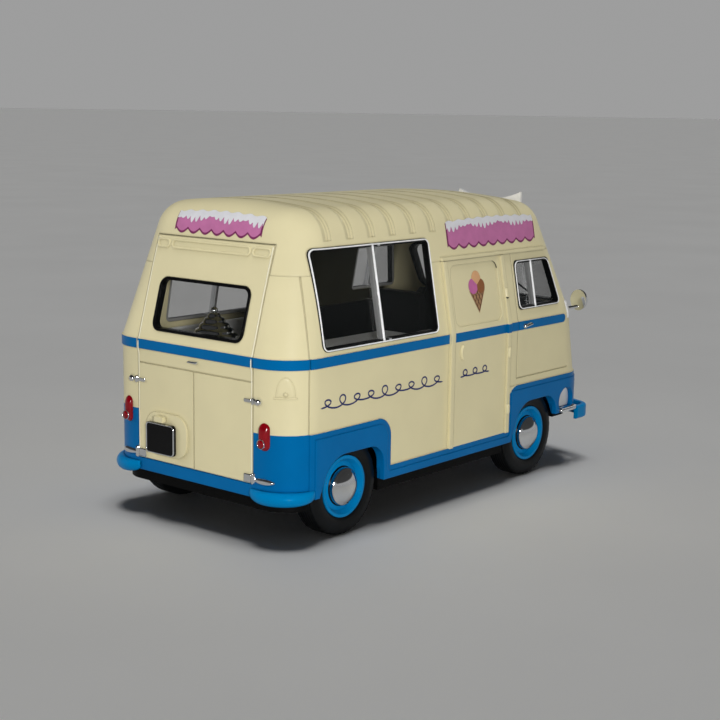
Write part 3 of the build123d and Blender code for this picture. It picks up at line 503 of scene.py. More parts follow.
def lens(name, colour):
    """Coloured lamp lens, glossy, with fine ribs."""
    paint = Paint(name, LENS_GLOSS)
    paint.colour(paint.tones(colour, 1.2, 0.2))
    wave = paint.node("ShaderNodeTexWave", bands_direction="Z")
    paint.join(paint.place, wave.inputs["Vector"])
    wave.inputs["Scale"].default_value = LENS_RIBS
    paint.bump(wave.outputs["Fac"], 0.01)
    return paint.material


def pale_floor():
    paint = Paint("pale_floor", {"Specular IOR Level": 0.1})
    paint.colour(paint.tones((0.88, 0.88, 0.87), 60, 0.02))
    paint.rough(20, 0.6, 0.7)
    return paint.material


MATERIALS = {
    "cream_casting": body_paint(),
    "cream_moulding": roof_paint(),
    "black_base": moulded("base_plastic", (0.003, 0.003, 0.003), 0.38, 0.52, shine=0.06),
    "steel": chrome("zinc_steel"),
    "black_inside": inside_plastic(),
    "grey_counter": moulded("counter_plastic", COUNTER_GREY, 0.35, 0.5),
    "bright": chrome("bright_plating"),
    "clear": glazing("clear_sheet"),
    "seal": moulded("seal_rubber", (0.003, 0.003, 0.0035), 0.2, 0.3, shine=0.15),
    "bumper_blue": plain_enamel("bumper_paint", BRIGHT_BLUE, BLUE_GLOSS),
    "rim_blue": plain_enamel("rim_paint", BRIGHT_BLUE, BLUE_GLOSS),
    "red_lamp": lens("red_lens", (0.22, 0.0, 0.005)),
    "amber_lamp": lens("amber_lens", (0.75, 0.22, 0.01)),
    "plate_black": moulded("plate_face", (0.003, 0.003, 0.0035), 0.15, 0.25, shine=0.15),
    "step_silver": moulded("step_plate", SILVER, 0.28, 0.42),
    "sign_white": moulded("sign_board", (0.80, 0.80, 0.79), 0.3, 0.45),
    "tyre": moulded("tyre_rubber", (0.003, 0.0035, 0.004), 0.3, 0.42, 0.25, 0.18),
}
# Lighter enamel of the painted highlight on the rear doors' edge beads
HIGHLIGHT_PAINT = plain_enamel("highlight_paint", HIGHLIGHT_CREAM)
# Pale flat silver of the bright window strips: real trim, with its even pale tone a painted highlight in
# place of a chrome reflection
STRIP_SILVER_HIGHLIGHT = moulded("strip_silver_highlight", (0.86, 0.87, 0.88), 0.22, 0.32)
# Stations of the side windows' ends, and of the bars that divide them, the left one off the middle
SERVING_REAR, SERVING_FRONT = REAR_AXLE - 6.5, REAR_BEAD - 3.2
LEFT_REAR, LEFT_FRONT = REAR_AXLE - 2.0, REAR_BEAD - 5.8
SERVING_BAR = (SERVING_REAR + SERVING_FRONT) / 2
LEFT_BAR = (LEFT_REAR + LEFT_FRONT) / 2 + 0.6
DOOR_BAR = FRONT_AXLE - 0.1
DIVIDER_HALF, DIVIDER_METAL = 0.32, 0.7
# A frame's inner side, painted pale as painted light: its sideways normal times its place, in metres, is
# under this
LOOKS_IN = -0.003


def frame_rubber():
    """Dark rubber of the side windows, with bright divider bars, and a pale grey inner side that is painted
    light.
    """
    paint = Paint("frame_rubber", {"Specular IOR Level": 0.2})
    x, y, _ = paint.axes()
    bars = paint.any_of(*(
        paint.near(x, station(bar), DIVIDER_HALF * MM) for bar in (SERVING_BAR, LEFT_BAR, DOOR_BAR)
    ))
    facing = paint.axes(paint.node("ShaderNodeNewGeometry").outputs["Normal"])["Y"]
    inner = paint.math("LESS_THAN", paint.math("MULTIPLY", facing, y), LOOKS_IN)
    rubber = paint.tones((0.004, 0.004, 0.0045), 4, 0.12)
    # Inner side painted pale grey as painted light, a lit copy of the dark rubber
    painted_light_lining = paint.mix(inner, rubber, paint.tones((0.35, 0.35, 0.34), 4, 0.06))
    paint.colour(paint.mix(bars, painted_light_lining, paint.tones(SILVER, 2.5, 0.06)))
    paint.join(paint.math("MULTIPLY", bars, DIVIDER_METAL), paint.shader.inputs["Metallic"])
    paint.rough(1.2, 0.3, 0.42)
    paint.round_edges(0.1)
    return paint.material


# Nodes that show rubber under their bright strips
FRAME_NODES = ("serving_frame", "left_frame", "door_frame_right", "door_frame_left")
FRAME_RUBBER = frame_rubber()


def dress_nodes():
    """Gives every CAD node the material of its slot in the record."""
    for part in frame["record"]["subparts"]:
        mesh = nodes[part["node"]].data
        mesh.materials.clear()
        framed = part["node"] in FRAME_NODES
        mesh.materials.append(FRAME_RUBBER if framed else MATERIALS[part["material_slot"]])


def make_floor():
    mesh = bpy.data.meshes.new("floor")
    corners = [(FLOOR_HALF * x, FLOOR_HALF * y, 0) for x, y in ((-1, -1), (1, -1), (1, 1), (-1, 1))]
    mesh.from_pydata(corners, [], [(0, 1, 2, 3)])
    mesh.materials.append(pale_floor())
    floor = place_object("floor", mesh)
    flag = bpy.data.collections.new("flag")
    flag.objects.link(floor)
    flag.collection_objects[0].light_linking.link_state = "EXCLUDE"
    for name in FLAGGED_LIGHTS:
        bpy.data.objects[name].light_linking.receiver_collection = flag


WELD = 1e-6


class Shape:
    """Mesh of one piece, put together from grids of points."""

    def __init__(self):
        self.mesh = bmesh.new()

    def grid(self, rows, wrap=False, close=False):
        """Quads between rows of points: wrap closes each row, and close joins the last to the first."""
        points = [[self.mesh.verts.new(point) for point in row] for row in rows]
        columns = len(rows[0])
        following = points[1:] + points[:1] if close else points[1:]
        for low, high in zip(points, following):
            for column in range(columns if wrap else columns - 1):
                after = (column + 1) % columns
                self.mesh.faces.new((low[column], low[after], high[after], high[column]))

    def turn(self, origin, axis, profile, segments=48):
        """A profile of (radius, along) points in millimetres, turned about an axis."""
        axis = Vector(axis).normalized()
        side = axis.orthogonal().normalized()
        other = axis.cross(side)
        rows = []
        for step in range(segments):
            angle = 2 * pi * step / segments
            out = cos(angle) * side + sin(angle) * other
            rows.append([origin + (out * radius + axis * along) * MM for radius, along in profile])
        self.grid(rows, close=True)

    def make(self, name, slot, body="van", material=None, stands_for=None):
        bmesh.ops.remove_doubles(self.mesh, verts=self.mesh.verts, dist=WELD)
        bmesh.ops.recalc_face_normals(self.mesh, faces=self.mesh.faces)
        made = bpy.data.meshes.new(name)
        self.mesh.to_mesh(made)
        self.mesh.free()
        made.polygons.foreach_set("use_smooth", [True] * len(made.polygons))
        made.materials.append(material or MATERIALS[slot])
        piece = place_object(name, made)
        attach(piece, body)
        if stands_for:
            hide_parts(stands_for)


# Tyres. Columns: place across, as a share of the half width, and millimetres inside the tread's radius
TREAD_GROOVES = (-0.6, -0.36, -0.12, 0.12, 0.36, 0.6)
GROOVE = [(-0.064, 0.0), (-0.04, 0.4), (0.04, 0.4), (0.064, 0.0)]
SHOULDER = [(0.74, 0.03), (0.82, 0.16), (0.89, 0.45), (0.94, 0.8), (0.985, 1.3)]
SIDEWALL = [(1.0, 1.8), (0.97, 2.05), (0.97, 2.15), (0.93, 2.5), (0.84, 2.84)]
TYRE_SEGMENTS = 160
# Notches of the shoulders: segments from one to the next, depth, and the part of the profile that has them
NOTCH_EVERY, NOTCH_DEPTH = 4, 0.14
NOTCH_FROM, NOTCH_MOST_DROP = 0.7, 0.3


def tyre_profile():
    tread = [(middle + across, drop) for middle in TREAD_GROOVES for across, drop in GROOVE]
    side = SHOULDER + SIDEWALL
    return [(-across, drop) for across, drop in reversed(side)] + tread + side


def make_tyre(node, body):
    low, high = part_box(node)
    middle = (low + high) / 2
    half = (high.y - low.y) / 2
    radius = (high.z - low.z) / 2
    profile = tyre_profile()
    rows = []
    for segment in range(TYRE_SEGMENTS):
        angle = 2 * pi * segment / TYRE_SEGMENTS
        notch = NOTCH_DEPTH if segment % NOTCH_EVERY == 0 else 0
        row = []
        for across, drop in profile:
            notched = abs(across) > NOTCH_FROM and drop < NOTCH_MOST_DROP
            reach = radius - (drop + (notch if notched else 0)) * MM
            row.append(middle + Vector((reach * cos(angle), across * half, reach * sin(angle))))
        rows.append(row)
    shape = Shape()
    shape.grid(rows, close=True)
    shape.make("dressed_" + node, "tyre", body, stands_for=node)


# Hubcap: a dome on a low wall, with a dark ring in the gap round it as painted shade. Columns of the ring:
# radius, height
CAP_WALL, CAP_DOME, CAP_ROUND = 0.55, 1.05, 0.25
# How far in and up the round's shoulder lies
CAP_SHOULDER_IN, CAP_SHOULDER_UP = 0.075, 0.175
CAP_STEPS, CAP_SEGMENTS = 12, 72
CAP_SHADE_RING = [(2.95, -0.1), (3.1, 0.05), (3.2, 0.04), (3.27, -0.12)]


def make_hubcap(node, body):
    low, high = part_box(node)
    middle = (low + high) / 2
    outward = 1 if middle.y > 0 else -1
    base = Vector((middle.x, low.y if outward > 0 else high.y, middle.z))
    radius = (high.x - low.x) / 2 / MM
    top = radius - CAP_ROUND
    ball = (top**2 + CAP_DOME**2) / (2 * CAP_DOME)
    profile = [(radius, 0.0), (radius, CAP_WALL)]
    profile.append((radius - CAP_SHOULDER_IN, CAP_WALL + CAP_SHOULDER_UP))
    for step in range(CAP_STEPS + 1):
        reach = top * (1 - step / CAP_STEPS)
        profile.append((reach, CAP_WALL + CAP_ROUND + sqrt(ball**2 - reach**2) - ball + CAP_DOME))
    cap = Shape()
    cap.turn(base, (0, outward, 0), profile, CAP_SEGMENTS)
    cap.make("domed_" + node, "bright", body, stands_for=node)
    # Dark ring in the gap round the cap, as painted shade
    ring = Shape()
    ring.turn(base, (0, outward, 0), CAP_SHADE_RING, CAP_SEGMENTS)
    ring.make("ring_" + node, "seal", body)


def make_wheels():
    for end in ("front", "rear"):
        for side in ("right", "left"):
            make_tyre(f"tyre_{end}_{side}", f"{end}_wheels")
            make_hubcap(f"hubcap_{end}_{side}", f"{end}_wheels")


def search_tree(*names):
    """Search tree of nodes that decals and fittings lie on."""
    vertices = []
    faces = []
    for name in names:
        mesh = nodes[name].data
        first = len(vertices)
        vertices += [v.co.copy() for v in mesh.vertices]
        faces += [[first + v for v in polygon.vertices] for polygon in mesh.polygons]
    return BVHTree.FromPolygons(vertices, faces)


OUTSIDE = search_tree("body_shell", "roof")
FRAMES = search_tree("body_shell", "roof", *FRAME_NODES)
# How far out rays start, and how far one goes that hits nothing
CAST_FROM = 70 * MM
CAST_REACH = 3 * CAST_FROM


class Face:
    """A side of the van that drawings and fittings are laid on: u runs along it and v is the height.

    Where a level is given, the surface is looked for at that height and taken to be upright.
    Where a bridge is given, grooves up to that half width are spanned.
    """

    def __init__(self, base, along, inward, level=None, bridge=0.0, tree=OUTSIDE):
        self.tree = tree
        self.base = at(*base)
        self.along = Vector(along)
        self.inward = Vector(inward)
        self.level = level
        self.tries = (-bridge, 0.0, bridge) if bridge else (0.0,)

    def depth(self, u, v):
        """How far in the surface lies, in metres."""
        start = self.base + self.along * (u * MM) + Vector((0, 0, v * MM)) - self.inward * CAST_FROM
        distance = self.tree.ray_cast(start, self.inward)[3]
        return (CAST_REACH if distance is None else distance) - CAST_FROM

    def lay(self, u, v, lift):
        height = v if self.level is None else self.level
        depth = min(self.depth(u + aside, height) for aside in self.tries) - lift * MM
        return self.base + self.along * (u * MM) + Vector((0, 0, v * MM)) + self.inward * depth


class Sheet(Face):
    """A flat upright face of its own."""

    def depth(self, u, v):
        return 0.0


DIAGONAL = sqrt(0.5)
ROOF_BRIDGE = 1.1


def side_face(side, **kind):
    """A whole side of the van, -1 right or 1 left."""
    return Face((0, 0, 0), (1, 0, 0), (0, -side, 0), **kind)


RIGHT_SIDE, LEFT_SIDE = side_face(-1), side_face(1)
RIGHT_ROOF, LEFT_ROOF = side_face(-1, bridge=ROOF_BRIDGE), side_face(1, bridge=ROOF_BRIDGE)
REAR_SIDE = Face((0, 0, 0), (0, 1, 0), (1, 0, 0))


def corner_face(side):
    """The rear corner of a side, -1 right or 1 left: u runs forward round it."""
    base = (REAR_FACE + REAR_CORNER, side * (HALF_WIDTH - REAR_CORNER), 0)
    return Face(base, (DIAGONAL, side * DIAGONAL, 0), (DIAGONAL, -side * DIAGONAL, 0))


def crowded(steps):
    """Shares from 0 to 1, closer together at the ends."""
    return [(1 - cos(pi * step / steps)) / 2 for step in range(steps + 1)]


def line(start, end, steps=24):
    return [tuple(a + (b - a) * share for a, b in zip(start, end)) for share in crowded(steps)]


def arc(centre, radius_u, radius_v, first, last, steps):
    """Points of an oval arc between two angles in degrees."""
    angles = [radians(first + (last - first) * step / steps) for step in range(steps + 1)]
    return [(centre[0] + radius_u * cos(angle), centre[1] + radius_v * sin(angle)) for angle in angles]


def oval(centre, radius_u, radius_v, steps=40):
    return arc(centre, radius_u, radius_v, 0, 360, steps)[:-1]


# Corner of a nearly round end, as a share of the half width
NEARLY_ROUND = 0.98


def rounded(centre, half_u, half_v, corner, steps=8):
    """Outline of a rectangle with round corners."""
    points = []
    for first, side_u, side_v in ((0, 1, 1), (90, -1, 1), (180, -1, -1), (270, 1, -1)):
        middle = (centre[0] + side_u * (half_u - corner), centre[1] + side_v * (half_v - corner))
        points += arc(middle, corner, corner, first, first + 90, steps)
    return points


def eased(corners, reach, steps=8):
    """Outline through corners, each cut round from a reach before it to a reach after it."""
    points = []
    for index, corner in enumerate(corners):
        middle = Vector(corner)
        start = middle + (Vector(corners[index - 1]) - middle).normalized() * reach
        end = middle + (Vector(corners[(index + 1) % len(corners)]) - middle).normalized() * reach
        for step in range(steps + 1):
            share = step / steps
            bend = 2 * share * (1 - share) * middle
            points.append(tuple((1 - share) ** 2 * start + bend + share**2 * end))
    return points


def spaced(outline, gap=0.8):
    """A closed outline with points added where they lie further apart than about a gap."""
    points = []
    for index, point in enumerate(outline):
        start, end = Vector(point), Vector(outline[(index + 1) % len(outline)])
        pieces = max(1, round((end - start).length / gap))
        points += [tuple(start.lerp(end, piece / pieces)) for piece in range(pieces)]
    return points


def lay_strip(shape, face, low_edge, high_edge, ends, lift, columns, rows):
    """Sheet between two edges, each a height for a place along the face."""
    start, end = ends
    grid = []
    for row in range(rows):
        share = row / (rows - 1)
        places = [start + (end - start) * column / (columns - 1) for column in range(columns)]
        grid.append([face.lay(u, low_edge(u) * (1 - share) + high_edge(u) * share, lift) for u in places])
    shape.grid(grid)


# Pieces start a little under the surface that they lie on, and a patch's rings crowd to its rim
SUNK = -0.05
RING_CROWDING = 1.6


def lay_patch(shape, face, outline, rise, edge=1.0, lift=SUNK, rings=8):
    """Dome over an outline, flat from a share of the way in, where it reaches its full rise."""
    middle = [sum(axis) / len(outline) for axis in zip(*outline)]
    rows = []
    for ring in range(rings):
        share = (ring / (rings - 1)) ** RING_CROWDING
        slope = 1 - min(1, share / edge)
        height = lift + (rise - lift) * sqrt(1 - slope**2)
        places = [[m + (p - m) * (1 - share) for m, p in zip(middle, point)] for point in outline]
        rows.append([face.lay(u, v, height) for u, v in places])
    shape.grid(rows, wrap=True)


def lay_bead(shape, face, points, half, rise, lift=SUNK, closed=False, across=7):
    """Half-round bead along (u, v) points, with round ends; a bead of no rise is a flat ribbon."""
    count = len(points)
    first, last = Vector(points[0]), Vector(points[-1])
    rows = []
    for index, point in enumerate(points):
        before = points[index - 1] if closed else points[max(index - 1, 0)]
        after = points[(index + 1) % count] if closed else points[min(index + 1, count - 1)]
        run = (Vector(after) - Vector(before)).normalized()
        to_end = min((Vector(point) - first).length, (Vector(point) - last).length)
        size = 1 if closed else sqrt(1 - (1 - min(1, to_end / half)) ** 2)
        row = []
        for place in range(across):
            share = 2 * place / (across - 1) - 1
            reach = half * size * share
            height = lift + rise * size * sqrt(1 - share**2)
            row.append(face.lay(point[0] - run.y * reach, point[1] + run.x * reach, height))
        rows.append(row)
    shape.grid(rows, close=closed)


def lay_upright(shape, face, u, low, high, bead, steps=24):
    """Bead straight up a face, from a low to a high height."""
    lay_bead(shape, face, line((u, low), (u, high), steps), *bead)


def lay_ribbon(shape, face, points, half, lift):
    lay_bead(shape, face, points, half, 0.0, lift, across=2)


# Decals: bare frosted banners on the roof, a waffle cone and a looping pinstripe
def print_ink(name, colour, swing=0.06):
    paint = Paint(name, {"Specular IOR Level": 0.3, "Coat Weight": 0.15, "Coat Roughness": 0.1})
    paint.colour(paint.tones(colour, 1.6, swing))
    paint.rough(1.0, 0.28, 0.4)
    paint.bump(paint.noise(0.4), 0.004)
    return paint.material


MAGENTA = print_ink("ink_magenta", (0.20, 0.025, 0.11))
PINK = print_ink("ink_pink", (0.54, 0.17, 0.37))
FROSTING = print_ink("ink_frosting", (0.74, 0.74, 0.78), 0.04)
NAVY = print_ink("ink_navy", (0.012, 0.02, 0.13))
WAFFLE = print_ink("ink_waffle", (0.42, 0.24, 0.12))
WAFFLE_LINE = print_ink("ink_waffle_line", (0.12, 0.05, 0.02))
# Columns: name, material, place along and height over the cone's rim, radius
SCOOPS = [
    ("rose", print_ink("ink_rose", (0.55, 0.14, 0.36)), -1.05, 0.8, 1.35),
    ("cocoa", print_ink("ink_cocoa", (0.28, 0.10, 0.03)), 1.15, 0.7, 1.25),
    ("peach", print_ink("ink_peach", (0.72, 0.40, 0.20)), 0.05, 2.1, 1.3),
]

# Banners. Columns: name, face, middle along, low height, high height, half length, scallops
BANNERS = [
    ("rear", REAR_SIDE, -0.4, 48.1, 50.0, 9.4, 7),
    ("right", RIGHT_ROOF, 15.4, 44.7, 47.9, 13.2, 9),
    ("left", LEFT_ROOF, 15.4, 44.7, 47.9, 13.2, 9),
]
BANNER_EDGE = 0.35
BANNER_CROWN, BANNER_RIPPLE = 0.35, 0.12
SCALLOP_DROP = 0.7
# Frosting: its least depth, the drips, and their swing in half waves over the banner
FROST_LEAST, DRIP_DEPTH, DRIPS_PER_SCALLOP = 0.35, 1.0, 2.5
DRIP_SHARE, DRIP_SWING, DRIP_WAVES, DRIP_START = 0.6, 0.4, 5.3, 1.0


def make_banner(name, face, middle, low, high, half, scallops):
    def share(u):
        return (u - middle + half) / (2 * half)

    def bottom(u):
        return low - SCALLOP_DROP * abs(sin(pi * scallops * share(u)))

    def top(u):
        ripple = BANNER_RIPPLE * sin(2 * pi * scallops * share(u))
        return high + BANNER_CROWN * sin(pi * share(u)) + ripple

    def drips(u):
        wave = abs(sin(pi * scallops * DRIPS_PER_SCALLOP * share(u)))
        slow = DRIP_SHARE + DRIP_SWING * sin(DRIP_WAVES * pi * share(u) + DRIP_START)
        return top(u) - FROST_LEAST - DRIP_DEPTH * wave * slow

    edge = BANNER_EDGE
    # Columns: name, low edge, high edge, half length, lift, material
    layers = [
        ("edge", lambda u: bottom(u) - edge, lambda u: top(u) + edge, half + edge, 0.03, MAGENTA),
        ("face", bottom, top, half, 0.06, PINK),
        ("frosting", drips, lambda u: top(u) + edge * 1.5, half + edge * 0.6, 0.10, FROSTING),
    ]
    for layer, low_edge, high_edge, reach, lift, ink in layers:
        shape = Shape()
        ends = (middle - reach, middle + reach)
        lay_strip(shape, face, low_edge, high_edge, ends, lift, columns=200, rows=14)
        shape.make(f"banner_{name}_{layer}", "cream_moulding", material=ink)


CONE_PLACE = 8.8
CONE_TIP, CONE_RIM = 32.4, 36.3
CONE_HALF = 2.3
CONE_LIP = 0.02
# Lines of the wafer: count, distance, half width, sideways run per rise, crossing height, steps
CONE_LINES, LINE_PITCH, LINE_HALF = 5, 0.9, 0.09
LINE_LEAN, LINE_CROSSING, LINE_STEPS = 0.55, CONE_TIP + 2.0, 48
# How far the decals stand out
INK_LIFT, LINE_LIFT, SCOOP_LIFT, SCOOP_RISE = 0.03, 0.055, 0.05, 0.09
SCOOP_EDGE = 0.5


def make_cone():
    def tip_edge(u):
        return CONE_TIP + (CONE_RIM - CONE_TIP) * min(1, abs(u - CONE_PLACE) / CONE_HALF)

    shape = Shape()
    edges = (tip_edge, lambda u: CONE_RIM + CONE_LIP)
    ends = (CONE_PLACE - CONE_HALF, CONE_PLACE + CONE_HALF)
    lay_strip(shape, RIGHT_SIDE, *edges, ends, INK_LIFT, columns=33, rows=16)
    shape.make("cone_wafer", "cream_casting", material=WAFFLE)
    lines = Shape()
    for index in range(CONE_LINES):
        offset = (index - (CONE_LINES - 1) / 2) * LINE_PITCH
        for lean in (-1, 1):
            lay_cone_line(lines, offset, lean)
    lines.make("cone_lines", "cream_casting", material=WAFFLE_LINE)
    for name, ink, along, over, radius in SCOOPS:
        scoop = Shape()
        centre = (CONE_PLACE + along, CONE_RIM + over)
        ball = oval(centre, radius, radius)
        lay_patch(scoop, RIGHT_SIDE, ball, SCOOP_RISE, SCOOP_EDGE, SCOOP_LIFT)
        scoop.make(f"cone_scoop_{name}", "cream_casting", material=ink)


def lay_cone_line(shape, offset, lean):
    """One slanting line of the wafer, cut to the cone."""
    points = []
    for step in range(LINE_STEPS + 1):
        v = CONE_TIP + (CONE_RIM - CONE_TIP) * step / LINE_STEPS
        u = CONE_PLACE + offset + lean * (v - LINE_CROSSING) * LINE_LEAN
        if abs(u - CONE_PLACE) < CONE_HALF * (v - CONE_TIP) / (CONE_RIM - CONE_TIP) - LINE_HALF:
            points.append((u, v))
    if len(points) > 2:
        lay_ribbon(shape, RIGHT_SIDE, points, LINE_HALF, LINE_LIFT)


# Pinstripe. Columns: name, face, start, end, height, loops, loop height
PINSTRIPES = [
    ("right_long", RIGHT_SIDE, -33.6, -2.2, 22.3, 9, 0.95),
    ("right_short", RIGHT_SIDE, 2.4, 11.2, 22.3, 3, 0.75),
    ("left_long", LEFT_SIDE, -33.6, -2.2, 22.3, 9, 0.95),
]
PINSTRIPE_HALF = 0.13
# Loops: steps, sideways swing as a share of the pitch, least size, and half waves of the size
LOOP_STEPS, LOOP_SWING, LOOP_LEAST, LOOP_WAVES = 28, 0.42, 0.55, 3.0


def make_pinstripe(name, face, start, end, height, loops, tall):
    pitch = (end - start) / loops
    points = []
    for step in range(loops * LOOP_STEPS + 1):
        turn = 2 * pi * step / LOOP_STEPS
        share = step / (loops * LOOP_STEPS)
        size = tall * (LOOP_LEAST + (1 - LOOP_LEAST) * sin(pi * share * LOOP_WAVES) ** 2)
        u = start + pitch * turn / (2 * pi) + LOOP_SWING * pitch * sin(turn)
        points.append((u, height - size * cos(turn)))
    shape = Shape()
    lay_ribbon(shape, face, points, PINSTRIPE_HALF, INK_LIFT)
    shape.make(f"pinstripe_{name}", "cream_casting", material=NAVY)


# Beads are given as (half width, rise), patches as (rise, share of the way in where it is reached), and
# ovals as (middle, half length, half height)
# Vents over the hatch. Columns: left end, right end; then their height and half height
VENTS = [(12.6, 9.9), (9.2, -8.3), (-9.0, -12.6)]
VENT_HEIGHT, VENT_HALF = 45.25, 0.62
VENT_BEAD = (0.22, 0.3)
# Beads along the rear doors' edges, in lighter cream as a painted highlight: distance from the seam, heights
# of their ends
EDGE_INSET, EDGE_FOOT, EDGE_HEAD = 0.24, SILL_TOP + 0.3, HATCH_TOP - 0.3
EDGE_BEAD = (0.12, 0.16)
# Filler on the right rear corner: a bell, the upper half of an oval, with its ledge and boss
FILLER_PLACE, FILLER_FOOT = -0.6, 23.8
FILLER_BELL, FILLER_PATCH = ((FILLER_PLACE, FILLER_FOOT), 1.6, 3.3), (0.22, 0.35)
LEDGE_HALF, LEDGE_BEAD = 1.85, (0.2, 0.24)
FILLER_BOSS, FILLER_BOSS_PATCH = ((FILLER_PLACE, FILLER_FOOT + 0.65), 0.36, 0.36), (0.5, 1.0)
# Side door pull: its oval, and the angles of the part that shows; then the hinge knuckles' heights
PULL_OVAL, PULL_ANGLES, PULL_BEAD = ((3.6, 26.2), 1.1, 1.5), (120, 240), (0.22, 0.5)
KNUCKLES = (14.2, 24.6, 35.2)
KNUCKLE_HALF, KNUCKLE_BEAD = 1.0, (0.46, 0.35)


def make_vents():
    vents = Shape()
    for left, right in VENTS:
        middle = ((left + right) / 2, VENT_HEIGHT)
        outline = rounded(middle, (left - right) / 2, VENT_HALF, VENT_HALF * NEARLY_ROUND, steps=12)
        lay_bead(vents, REAR_SIDE, outline, *VENT_BEAD, closed=True)
    vents.make("hatch_vents", "cream_casting")


def make_door_edge_highlights():
    edges = Shape()
    for side in (-1, 1):
        place = side * (REAR_DOOR_HALF - EDGE_INSET)
        lay_upright(edges, REAR_SIDE, place, EDGE_FOOT, EDGE_HEAD, EDGE_BEAD, steps=60)
    # The beads are painted lighter, as a painted highlight
    edges.make("door_edges", "cream_casting", material=HIGHLIGHT_PAINT)


def make_filler():
    filler = Shape()
    face = corner_face(-1)
    lay_patch(filler, face, arc(*FILLER_BELL, 0, 180, steps=36), *FILLER_PATCH)
    ledge = [(FILLER_PLACE + side * LEDGE_HALF, FILLER_FOOT) for side in (-1, 1)]
    lay_bead(filler, face, line(*ledge), *LEDGE_BEAD)
    lay_patch(filler, face, oval(*FILLER_BOSS, steps=24), *FILLER_BOSS_PATCH)
    filler.make("fuel_filler", "cream_casting")


def make_side_door_fittings():
    shape = Shape()
    lay_bead(shape, RIGHT_SIDE, arc(*PULL_OVAL, *PULL_ANGLES, steps=30), *PULL_BEAD)
    for height in KNUCKLES:
        ends = (height - KNUCKLE_HALF, height + KNUCKLE_HALF)
        lay_upright(shape, RIGHT_SIDE, FRONT_BEAD, *ends, KNUCKLE_BEAD)
    shape.make("side_door_fittings", "cream_casting")


# Rear bumpers: plan of the corner that they follow, and how they swell
BUMPER_TIP = REAR_DOOR_HALF - 0.4
BUMPER_STRAIGHT = HALF_WIDTH - REAR_CORNER - BUMPER_TIP
BUMPER_TURN = radians(82)
BUMPER_TOP, BUMPER_DEEP, BUMPER_PROUD = 9.15, 2.3, 1.35
BUMPER_END_DEEP, BUMPER_END_PROUD = 0.966, 0.15
# Powers that blunt the ends and square the section
BUMPER_BLUNT, BUMPER_SQUARE = 2.6, 0.7
BUMPER_STEPS, BUMPER_SECTION_STEPS = 40, 12


def bumper_row(side, share):
    """Section of a rear bumper at a share of its length, from the door's edge round the corner."""
    run = share * (BUMPER_STRAIGHT + REAR_CORNER * BUMPER_TURN)
    angle = max(0, run - BUMPER_STRAIGHT) / REAR_CORNER
    outward = Vector((-cos(angle), side * sin(angle), 0))
    centre = Vector((REAR_FACE + REAR_CORNER, side * (HALF_WIDTH - REAR_CORNER), 0))
    foot = centre + outward * REAR_CORNER - Vector((0, side, 0)) * max(0, BUMPER_STRAIGHT - run)
    swell = sqrt(1 - abs(2 * share - 1) ** BUMPER_BLUNT)
    deep = BUMPER_END_DEEP + (BUMPER_DEEP - BUMPER_END_DEEP) * swell
    proud = BUMPER_END_PROUD + (BUMPER_PROUD - BUMPER_END_PROUD) * swell
    row = []
    for step in range(BUMPER_SECTION_STEPS + 1):
        lift = pi * (step / BUMPER_SECTION_STEPS - 0.5)
        out = proud * abs(cos(lift)) ** BUMPER_SQUARE
        place = foot + outward * out
        row.append(at(place.x, place.y, BUMPER_TOP - deep / 2 + deep / 2 * sin(lift)))
    return row


def make_rear_bumpers():
    for name, side in (("right", -1), ("left", 1)):
        shape = Shape()
        shape.grid([bumper_row(side, share) for share in crowded(BUMPER_STEPS)], wrap=True)
        shape.make(f"swollen_bumper_{name}", "bumper_blue", stands_for=f"rear_bumper_{name}")


# Tail lamps: an upright lens, by its middle and halves, and a round one on its foot with a ring
TAIL_Y, TAIL_Z = REAR_DOOR_HALF + 2.4, 16.6
DROP_HEIGHT, DROP_HALF, DROP_TALL, DROP_PATCH = 17.6, 0.95, 2.2, (0.8, 0.95)
# Round lens: radius, depth of its foot, and the oval that domes it; then the ring's section
LENS_RADIUS, LENS_SUNK = 0.66, -0.5
LENS_DOME, LENS_RING = ((0, 0.72), LENS_RADIUS, 0.3), ((0.72, 0.74), 0.05, 0.1)
LAMP_SEGMENTS = 40


def make_tail_lamps():
    lamps = Shape()
    rings = Shape()
    for side in (-1, 1):
        middle = side * TAIL_Y
        drop = rounded((middle, DROP_HEIGHT), DROP_HALF, DROP_TALL, DROP_HALF * NEARLY_ROUND)
        lay_patch(lamps, REAR_SIDE, drop, *DROP_PATCH)
        foot = at(REAR_FACE, middle, TAIL_Z)
        lens_profile = [(LENS_RADIUS, LENS_SUNK)] + arc(*LENS_DOME, 0, 90, steps=9)
        lamps.turn(foot, (-1, 0, 0), lens_profile, LAMP_SEGMENTS)
        hoop = oval(*LENS_RING, steps=12)
        rings.turn(foot, (-1, 0, 0), hoop + hoop[:1], LAMP_SEGMENTS)
    lamps.make("tail_lamp_lenses", "red_lamp", stands_for="tail_lamps")
    rings.make("tail_lamp_rings", "bright")


# Rear hinges: leaf on the door, pin at its edge, and a knob or a strap on the corner
# Columns: height, half height of the leaf
UPPER_HINGE, LOWER_HINGE = (22.9, 0.32), (10.7, 0.7)
LEAF_HALF, LEAF_CORNER, LEAF_PATCH = 0.8, 0.2, (0.3, 0.25)
# Distance of the leaf and of the pin from the door's edge, and how far the pin passes the leaf
HINGE_GAP, PIN_OVER, PIN_BEAD = 0.2, 0.3, (0.34, 0.55)
HINGE_KNOB_PLACE, HINGE_KNOB, HINGE_KNOB_PATCH = 1.3, 0.62, (0.7, 0.8)
STRAP_OVAL, STRAP_PATCH = ((-3.7, 10.5), 1.6, 0.58), (0.55, 0.8)


